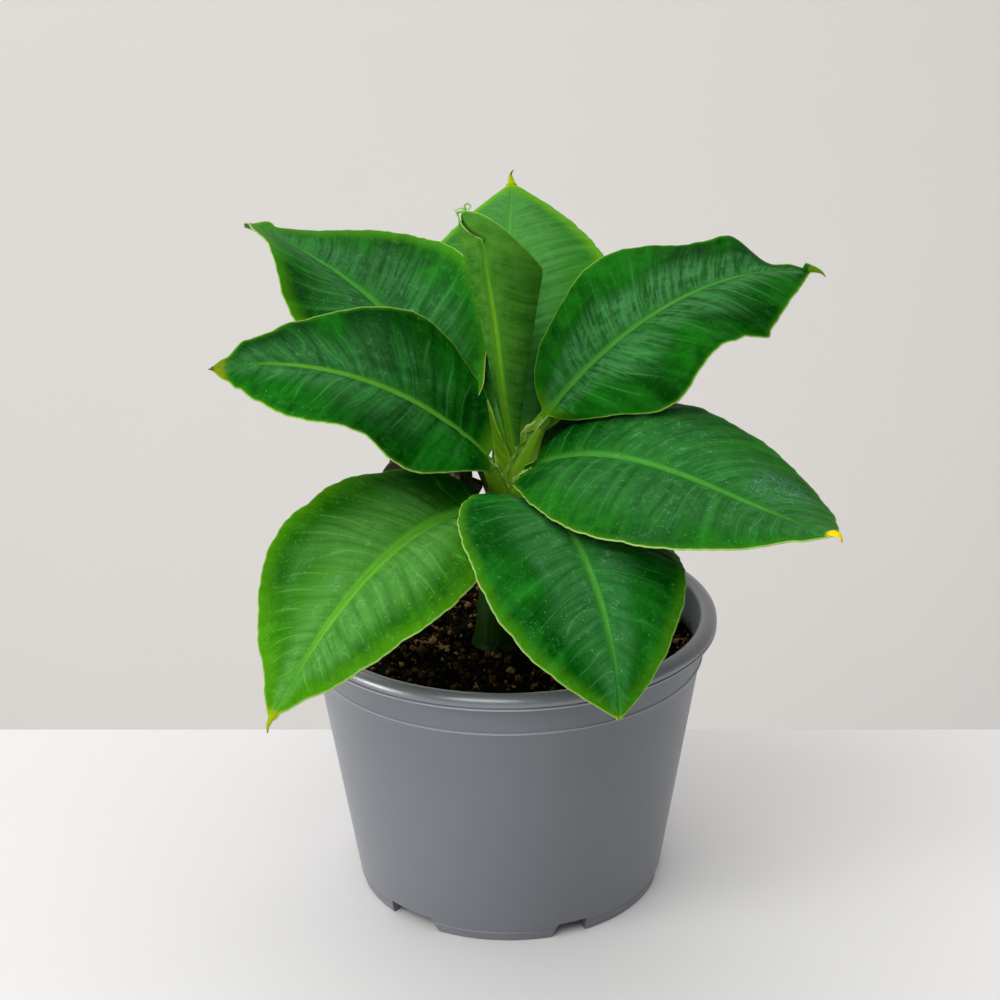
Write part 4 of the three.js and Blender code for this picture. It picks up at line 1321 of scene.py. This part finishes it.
# Sheaths, torn skins and dead sheath: colour at the soil, at the fork, of streaks; gloss and shine.
# The green sheaths' dark colour at the soil is partly painted shade
STEM_FINISHES = (
    ("sheath_green", (0.006, 0.035, 0.001), (0.12, 0.29, 0.004), (0.25, 0.42, 0.05)),
    ("sheath_skin", (0.16, 0.33, 0.03), (0.26, 0.48, 0.08), (0.5, 0.65, 0.25), 0.14, 0.6),
    ("sheath_dead", (0.07, 0.06, 0.012), (0.13, 0.13, 0.03), (0.3, 0.27, 0.1)),
)


def sleeve_path(leaf, sleeve):
    """A sleeve's middle line, with its side and upper directions and its half-width."""
    share = np.linspace(0, 1, SLEEVE_ROWS)
    end, onward, side, _ = (part[0] for part in frame_at(midrib_of(leaf), [sleeve["reach"]]))
    foot = np.array(sleeve["foot"], float)
    first, last = foot + (0, 0, sleeve["rise"]), end - onward * sleeve["lead"]
    t = share[:, None]
    path = foot * (1 - t) ** 3 + 3 * t * (1 - t) ** 2 * first + 3 * t ** 2 * (1 - t) * last + end * t ** 3
    along = unit(np.gradient(path, axis=0))
    side = unit(side - along * (along @ side)[:, None])
    up = np.cross(side, along)
    half = eased(share, np.linspace(0, 1, len(sleeve["half"])), sleeve["half"])
    groove = SLEEVE_GROOVE * smooth(share, 0.45, 0.85)
    return share, path - up * (half * (1 - groove) * share ** 3)[:, None], side, up, half, groove


def sleeve_point(path, side, up, half, groove, angle):
    """Places round a sleeve, by the angle from its upper, grooved side."""
    away = (angle + math.pi) % (2 * math.pi) - math.pi
    size = half * (1 - groove * np.exp(-(away / 0.62) ** 2))
    turned = np.cos(angle)[..., None] * up + np.sin(angle)[..., None] * side
    return path + turned * size[..., None]


def sleeve_tube(leaf, sleeve):
    share, path, side, up, half, groove = sleeve_path(leaf, sleeve)
    angle = whole_turn(SLEEVE_SIDES)[None, :] + 0 * share[:, None]
    ribs = 1 + 0.012 * np.sin(angle * 11 + 3 * share[:, None]) + 0.008 * np.sin(angle * 23)
    points = sleeve_point(path[:, None], side[:, None], up[:, None], half[:, None] * ribs,
                          groove[:, None], angle)
    around = angle * half[:, None]
    away = np.abs((angle + math.pi) % (2 * math.pi) - math.pi)
    from_groove = np.abs(away - 0.75) * half[:, None] + 9 * (1 - smooth(share, 0.4, 0.7))[:, None]
    place = np.stack([points[..., 2], around, from_groove], -1)
    return points, place


def sleeve_wing(leaf, sleeve, sign, width):
    """The thin skin along one edge of a sleeve's groove, wavy and torn off at its top."""
    share, path, side, up, half, groove = sleeve_path(leaf, sleeve)
    rows = slice(int(SLEEVE_ROWS * 0.3), int(SLEEVE_ROWS * 0.93))
    share, path, side, up, half, groove = (part[rows] for part in (share, path, side, up, half, groove))
    angle = np.full(share.shape, sign * 0.72)
    edge = sleeve_point(path, side, up, half, groove, angle) - up * 0.25
    swell = np.sin(math.pi * np.linspace(0, 1, len(share))) ** 0.6
    wavy = 1 + 0.4 * np.sin(share * 34 + sign) + 0.25 * np.sin(share * 71)
    out = unit(up * 0.8 + side * (sign * (0.62 + 0.35 * np.sin(share * 40)))[:, None])
    columns = np.linspace(0, 1, WING_COLUMNS)[None, :, None]
    reach = (width * swell * wavy + 0.3)[:, None, None]
    points = edge[:, None] + out[:, None] * reach * columns
    points = points + (side * sign)[:, None] * 0.35 * reach * columns ** 2
    normal = unit(np.cross(np.gradient(points, axis=1), np.gradient(points, axis=0)))
    other = points - normal * 0.28 * (1.2 - columns)
    place = np.stack([points[..., 2], (reach * columns)[..., 0] * 2, (reach * (1 - columns))[..., 0]], -1)
    return points, other, place


def fork_skin():
    """The free skin between its two margins, bulging towards the front."""
    row = np.linspace(0, 3, FORK_SKIN_ROWS)
    share = np.linspace(0, 1, FORK_SKIN_COLUMNS)[None, :, None]
    left, right = (
        np.stack([eased(row, range(4), places) for places in zip(*margin)], -1)[:, None]
        for margin in (FORK_SKIN_LEFT, FORK_SKIN_RIGHT)
    )
    points = mix(left, right, share)
    wide = np.linalg.norm(right - left, axis=-1)
    bulge = FORK_SKIN_BULGE * np.sin(math.pi * share[..., 0]) * smooth(wide, 0, 4)
    points[..., 1] -= bulge + 0.12 * np.sin(points[..., 2] * 0.9 + share[..., 0] * 9)
    across = share[..., 0] * wide
    place = np.stack([points[..., 2], across * 2, np.minimum(across, wide - across)], -1)
    return points, points + np.array((0, 0.35, 0)), place


def add_skin(gather, top, bottom, place, finish):
    loops, faces, _ = thin_sheet(top, bottom)
    gather.add(flat_list(loops), faces, [finish] * len(faces), stem_place=flat_list(looped(place)))


def stem_core():
    """The stem under its youngest sheaths: four outer sheath edges wrap its ribbed round body."""
    heights = np.linspace(STEM_WIDTHS[0][0], STEM_WIDTHS[-1][0], STEM_ROWS)[:, None]
    turns = whole_turn(STEM_SIDES)[None, :]
    x, y = stem_axis(heights)
    step = np.zeros(np.broadcast(heights, turns).shape)
    nearest = np.full(step.shape, 9.0)
    for k, first in enumerate(SHEATH_EDGES):
        edge = first + (heights - 115) * (0.012 if k % 2 else -0.01) + 0.12 * np.sin(heights / 9 + k)
        after = (turns - edge) % (2 * math.pi)
        step += SHEATH_STEP * np.exp(-after / 0.9)
        nearest = np.minimum(nearest, after * stem_radius(heights))
    ribs = 0.09 * np.sin(turns * 23 + 0.6 * np.sin(heights / 14)) + 0.12 * np.sin(heights / 6.5 + turns)
    reach = stem_radius(heights) - 0.9 + step + ribs * smooth(heights, 116, 120)
    points = np.stack([x + reach * np.cos(turns), y + reach * np.sin(turns), heights + 0 * turns], -1)
    around = turns * stem_radius(150.0) + 0 * heights
    return points[:, ::-1], np.stack([heights + 0 * turns, around, nearest], -1)[:, ::-1]


def build_stem():
    """A core with the leaves' sheaths clasping it, the older outside the younger."""
    gather = Gather("stem_place")

    def add_tube(points, place, finish):
        faces = loop_faces(*points.shape[:2])
        gather.add(flat_list(points), faces, [finish] * len(faces), stem_place=flat_list(place))

    add_tube(*stem_core(), 0)
    for sleeve in SLEEVES:
        leaf = {**ORDINARY_LEAF, **LEAVES[sleeve["leaf"]]}
        add_tube(*sleeve_tube(leaf, sleeve), sleeve.get("finish", 0))
        for sign, width in zip((-1, 1), sleeve["wings"]):
            add_skin(gather, *sleeve_wing(leaf, sleeve, sign, width), 1)
    add_skin(gather, *fork_skin(), 0)
    materials = [stem_finish(*row) for row in STEM_FINISHES]
    place_piece(gather.piece("stem_of_sheaths", materials), "stem", "pseudostem")


# Pot


def arc(centre, radius, start, end, count):
    angles = np.radians(np.linspace(start, end, count))
    return [(centre[0] + radius * math.cos(a), centre[1] + radius * math.sin(a)) for a in angles]


def pot_profile():
    """The pot's section from the hub out along the floor, up outside, over the rim, down inside."""

    def wall(z):
        return mix(BASE_RADIUS, BAND_RADIUS - BAND_STEP, z / BAND_Z)

    foot, foot_line = BASE_RADIUS - FOOT_WIDTH, wall(FOOT_LINE_Z)
    top, under = BAND_TOP_RADIUS, RIM_UNDERSIDE_Z
    underside = [
        (0.0, 0.0), (HUB_RADIUS - 0.5, 0.0), (HUB_RADIUS, EASE), (HUB_RADIUS + 1, FLOOR_Z),
        (foot - EASE, FLOOR_Z), (foot, FLOOR_Z - EASE), (foot, EASE), (foot + EASE, 0.0),
        *arc((BASE_RADIUS - BASE_ROUNDING, BASE_ROUNDING), BASE_ROUNDING, -90, 5, 7),
    ]
    outside = [
        (wall(FOOT_LINE_Z - 0.8), FOOT_LINE_Z - 0.8), (foot_line, FOOT_LINE_Z - EASE),
        (foot_line - 0.25, FOOT_LINE_Z), (foot_line, FOOT_LINE_Z + EASE),
        (wall(FOOT_LINE_Z + 0.8), FOOT_LINE_Z + 0.8), (wall(40.0), 40.0), (wall(80.0), 80.0),
        (wall(BAND_Z - 5.0), BAND_Z - 5.0), (wall(BAND_Z - 4.0) + 0.05, BAND_Z - 4.0),
        (BAND_RADIUS - 0.05, BAND_Z - 0.4), *arc((BAND_RADIUS + 0.05, BAND_Z), 0.42, -50, 75, 7),
        (BAND_RADIUS - 0.05, BAND_Z + 0.5), (BAND_RADIUS, BAND_Z + 1.0), (BAND_RADIUS + 0.1, BAND_Z + 2.0),
        (top - 0.1, under - 2.5), (top, under - 1.4), (top + EASE, under - 0.8),
    ]
    rim = [
        (RIM_RADIUS - 1.0, under - 0.2), *arc((RIM_RADIUS - 0.5, under + 0.3), 0.5, -60, 80, 7),
        (RIM_RADIUS - 0.7, under + 0.85), (RIM_RADIUS - 0.45, under + 1.5),
        *arc((RIM_RADIUS - RIM_ROLL, POT_TOP - RIM_ROLL), RIM_ROLL, -8, 92, 18),
        (RIM_TOP_RADIUS - 1.2, POT_TOP - 0.18), (LIP_RADIUS + 1.5, LIP_Z + 0.6),
        (LIP_RADIUS + 0.6, LIP_Z + 0.1), (LIP_RADIUS + 0.1, LIP_Z - 0.5), (LIP_RADIUS - 0.1, LIP_Z - 1.4),
    ]
    floor = FLOOR_Z + FLOOR_THICKNESS
    inside = [
        (wall(BAND_Z) - WALL + 0.4, BAND_Z + 3), (wall(BAND_Z) - WALL, BAND_Z),
        (wall(60.0) - WALL, 60.0), (wall(floor) - WALL, floor + 1), (wall(floor) - WALL - 1, floor),
        (0.0, floor),
    ]
    return underside + outside + rim + inside


def lathe(profile, sides):
    """Points and faces of a turned solid whose profile begins and ends on the axis."""
    rings = profile[1:-1]
    turns = whole_turn(sides)
    points = [(0.0, 0.0, profile[0][1]), (0.0, 0.0, profile[-1][1])]
    for radius, z in rings:
        points += [(radius * math.cos(t), radius * math.sin(t), z) for t in turns]
    faces = []
    for k in range(sides):
        beside = (k + 1) % sides
        faces.append([0, 2 + beside, 2 + k])
        for ring in range(len(rings) - 1):
            low, high = 2 + ring * sides, 2 + (ring + 1) * sides
            faces.append([low + k, low + beside, high + beside, high + k])
        last = 2 + (len(rings) - 1) * sides
        faces.append([1, last + k, last + beside])
    return np.array(points), faces


def notch_block(angle, width, slanted):
    """A block where one drain notch goes through the foot; one of its sides slants."""
    tops = [width / 2 - EASE, -width / 2 + EASE]
    tops[slanted] -= math.copysign(NOTCH_SLANT - EASE, tops[slanted])
    outline = [
        (-width / 2, -1), (width / 2, -1), (width / 2, 0), (tops[0], NOTCH_HEIGHT),
        (tops[1], NOTCH_HEIGHT), (-width / 2, 0),
    ]
    inner, outer = BASE_RADIUS - FOOT_WIDTH - 2, BASE_RADIUS + 2 * FOOT_WIDTH
    turn = Matrix.Rotation(math.radians(angle), 3, "Z")
    points = [turn @ Vector((reach, across, z)) for reach in (inner, outer) for across, z in outline]
    count = len(outline)
    faces = [list(range(count))[::-1], [count + k for k in range(count)]]
    faces += [[k, (k + 1) % count, count + (k + 1) % count, count + k] for k in range(count)]
    return np.array([tuple(p) for p in points]), faces


def cut_notches(pot):
    """Take the drain notches out of the pot's foot."""
    blocks = Gather()
    for k in range(NOTCH_COUNT):
        angle = FIRST_NOTCH_ANGLE + 360 * k / NOTCH_COUNT
        block, sides = notch_block(angle, NOTCH_WIDTHS[k % 2], (k + 1) % 2)
        blocks.add(block, sides, [0] * len(sides))
    cutter = blocks.piece("notch_blocks", [])
    cut = pot.modifiers.new("notches", "BOOLEAN")
    cut.operation = "DIFFERENCE"
    cut.solver = "EXACT"
    cut.object = cutter
    graph = bpy.context.evaluated_depsgraph_get()
    done = bpy.data.meshes.new_from_object(pot.evaluated_get(graph))
    pot.modifiers.clear()
    pot.data = done
    bpy.data.objects.remove(cutter)


def build_pot():
    points, faces = lathe(pot_profile(), POT_SIDES)
    middle = np.array([points[face].mean(0) for face in faces])
    radius, z = np.hypot(middle[:, 0], middle[:, 1]), middle[:, 2]
    glossy = (z > RIM_UNDERSIDE_Z) & (radius > LIP_RADIUS + 0.4)
    # The faces of both moulding beads take the brighter finish, a painted highlight along them
    bead = np.abs(z - BAND_Z - 0.12) < MOULDING_LINE
    bead |= (np.abs(z - RIM_UNDERSIDE_Z - 0.42) < MOULDING_LINE) & (z < RIM_UNDERSIDE_Z + 0.8)
    finishes = [pot_finish(*row) for row in POT_FINISHES]
    pot = mesh_piece("nursery_pot", points, faces, finishes, np.where(bead, 2, glossy))
    cut_notches(pot)
    pot.data.polygons.foreach_set("use_smooth", np.full(len(pot.data.polygons), True))
    pot.data.set_sharp_from_angle(angle=math.radians(POT_SHARP_EDGE))
    place_piece(pot, "pot", "pot")


# Soil


def soil_height(x, y):
    """Height of the soil's surface, level where the stem stands."""
    radius = np.hypot(x, y)
    lumps = np.sin(x / 7.5 + y / 11) * np.cos(y / 6.5 - x / 13)
    rise = np.clip((radius - SOIL_FLAT_RADIUS) / SOIL_FLAT_RADIUS, 0, 1)
    small = 0.35 * np.sin(x * 1.3 + 2 * np.sin(y * 0.7)) * np.cos(y * 1.1 - 1.5 * np.sin(x * 0.6))
    return SOIL_TOP + SOIL_RELIEF * rise * (lumps - 0.4) + small - 0.9


def build_soil_bed(materials):
    rings = SOIL_RADIUS * np.linspace(0.01, 1, SOIL_RINGS)[:, None]
    turns = whole_turn(SOIL_SIDES)[None, :]
    x, y = rings * np.cos(turns), rings * np.sin(turns)
    top = np.stack([x, y, soil_height(x, y)], -1)
    skirt = top[-1:].copy()
    skirt[..., 2] = SOIL_TOP - SOIL_SKIRT
    loops = np.concatenate([top, skirt])
    faces = [face[::-1] for face in loop_faces(len(loops), SOIL_SIDES)]
    bed = mesh_piece("soil_bed", flat_list(loops), faces, materials[:1])
    place_piece(bed, "soil", "potting_soil")


def ball(level):
    made = bmesh.new()
    bmesh.ops.create_icosphere(made, subdivisions=level, radius=1.0)
    points = np.array([v.co[:] for v in made.verts])
    faces = np.array([[v.index for v in f.verts] for f in made.faces])
    made.free()
    return points, faces


def random_turns(draw, count):
    """Rotation matrices spread evenly over all directions."""
    q = unit(draw.normal(size=(count, 4)))
    w, x, y, z = q.T
    rows = [
        [1 - 2 * (y * y + z * z), 2 * (x * y - z * w), 2 * (x * z + y * w)],
        [2 * (x * y + z * w), 1 - 2 * (x * x + z * z), 2 * (y * z - x * w)],
        [2 * (x * z - y * w), 2 * (y * z + x * w), 1 - 2 * (x * x + y * y)],
    ]
    return np.array(rows).transpose(2, 0, 1)


def build_crumbs(draw, materials, name, count, level, sizes, flatness, lift, tints):
    """Many small lumps of one kind, strewn over the bed and joined into one mesh."""
    shape, faces = ball(level)
    scale = draw.uniform(*sizes, size=(count, 1, 1)) * draw.uniform(*flatness, size=(count, 1, 3))
    knobs = 1 + 0.22 * draw.normal(size=(count, len(shape), 1)).clip(-1.6, 1.6)
    lumps = (shape[None] * knobs * scale) @ random_turns(draw, count)
    radius = (SOIL_RADIUS - sizes[1]) * np.sqrt(draw.uniform(0.001, 1, count))
    turn = draw.uniform(0, 2 * math.pi, count)
    x, y = radius * np.cos(turn), radius * np.sin(turn)
    z = soil_height(x, y) + draw.uniform(*lift, count) * scale.mean(axis=(1, 2))
    lumps = lumps + np.stack([x, y, z], -1)[:, None]
    corners = flat_list(faces[None] + (np.arange(count) * len(shape))[:, None, None]).tolist()
    choice = draw.choice(len(tints), size=count, p=np.array(tints) / sum(tints))
    indices = np.repeat(choice, len(faces))
    piece = mesh_piece(name, flat_list(lumps), corners, materials, indices, sharp_degrees=60)
    place_piece(piece, "soil")


def build_soil():
    materials = [crumb_finish(*row) for row in CRUMB_FINISHES]
    build_soil_bed(materials)
    draw = np.random.default_rng(5)
    for row in CRUMBS:
        build_crumbs(draw, materials, *row)


# Stage


def camera_frame():
    """Right, up and forward of the camera, leaning about its own axis."""
    pitch, lean = math.radians(CAMERA_PITCH), math.radians(CAMERA_LEAN)
    forward = Vector((0, math.cos(pitch), -math.sin(pitch)))
    right, up = Vector((1, 0, 0)), Vector((0, math.sin(pitch), math.cos(pitch)))
    return (
        right * math.cos(lean) + up * math.sin(lean),
        up * math.cos(lean) - right * math.sin(lean),
        forward,
    )


def build_camera():
    data = bpy.data.cameras.new("camera")
    data.lens = CAMERA_LENS
    data.sensor_width = CAMERA_SENSOR
    data.clip_start, data.clip_end = 0.01, 100
    camera = bpy.data.objects.new("camera", data)
    bpy.context.scene.collection.objects.link(camera)
    right, up, forward = camera_frame()
    turn = Matrix((right, up, -forward)).transposed().to_4x4()
    camera.matrix_world = Matrix.Translation(Vector(CAMERA_AT) * MM) @ turn
    bpy.context.scene.camera = camera


def table_point(column, row):
    """Where the camera sees the table at a place of the picture, in millimetres."""
    right, up, forward = camera_frame()
    focal = CAMERA_LENS / CAMERA_SENSOR * PICTURE_SIDE
    middle = PICTURE_SIDE / 2
    ray = forward + right * ((column - middle) / focal) - up * ((row - middle) / focal)
    start = Vector(CAMERA_AT)
    return start - ray * (start.z / ray.z)


def build_stage():
    """A pale table whose far edge shows behind the pot, and a plain wall well behind it."""
    near, far = table_point(0, TABLE_EDGE_ROW), table_point(PICTURE_SIDE, TABLE_EDGE_ROW)
    beyond = (far - near).normalized() * TABLE_SPARE
    left, right = near - beyond, far + beyond
    front = Vector((0, -TABLE_DEPTH, 0))
    table_paint = stage_finish("table_paint", TABLE_COLOUR, 0.55)
    corners = [left, left + front, right + front, right]
    table = mesh_piece("table_top", corners, [[0, 1, 2, 3]], [table_paint])
    wall_paint = stage_finish("wall_paint", WALL_COLOUR, 0.9)
    corners = [(x, WALL_Y, z) for z in WALL_SPAN_Z for x in (-WALL_REACH, WALL_REACH)]
    wall = mesh_piece("wall", corners, [[2, 3, 1, 0]], [wall_paint])


def soft_light(name, place, target, width, height, power, colour=(1, 1, 1)):
    data = bpy.data.lights.new(name, "AREA")
    data.shape = "RECTANGLE"
    data.size, data.size_y = width, height
    data.energy = power
    data.color = colour
    light = bpy.data.objects.new(name, data)
    bpy.context.scene.collection.objects.link(light)
    light.location = place
    light.rotation_euler = (Vector(target) - Vector(place)).to_track_quat("-Z", "Y").to_euler()
    light.visible_camera = False


def build_lights():
    for light in LIGHTS:
        soft_light(*light)
    world = bpy.data.worlds.new("studio")
    world.use_nodes = True
    background = world.node_tree.nodes["Background"]
    background.inputs["Color"].default_value = (*ROOM_COLOUR, 1)
    background.inputs["Strength"].default_value = ROOM_STRENGTH
    bpy.context.scene.world = world
    bpy.context.scene.view_settings.view_transform = "Standard"


def main():
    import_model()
    build_camera()
    build_stage()
    build_lights()
    build_pot()
    build_soil()
    build_stem()
    build_leaves()
    build_rolled_leaf()


main()
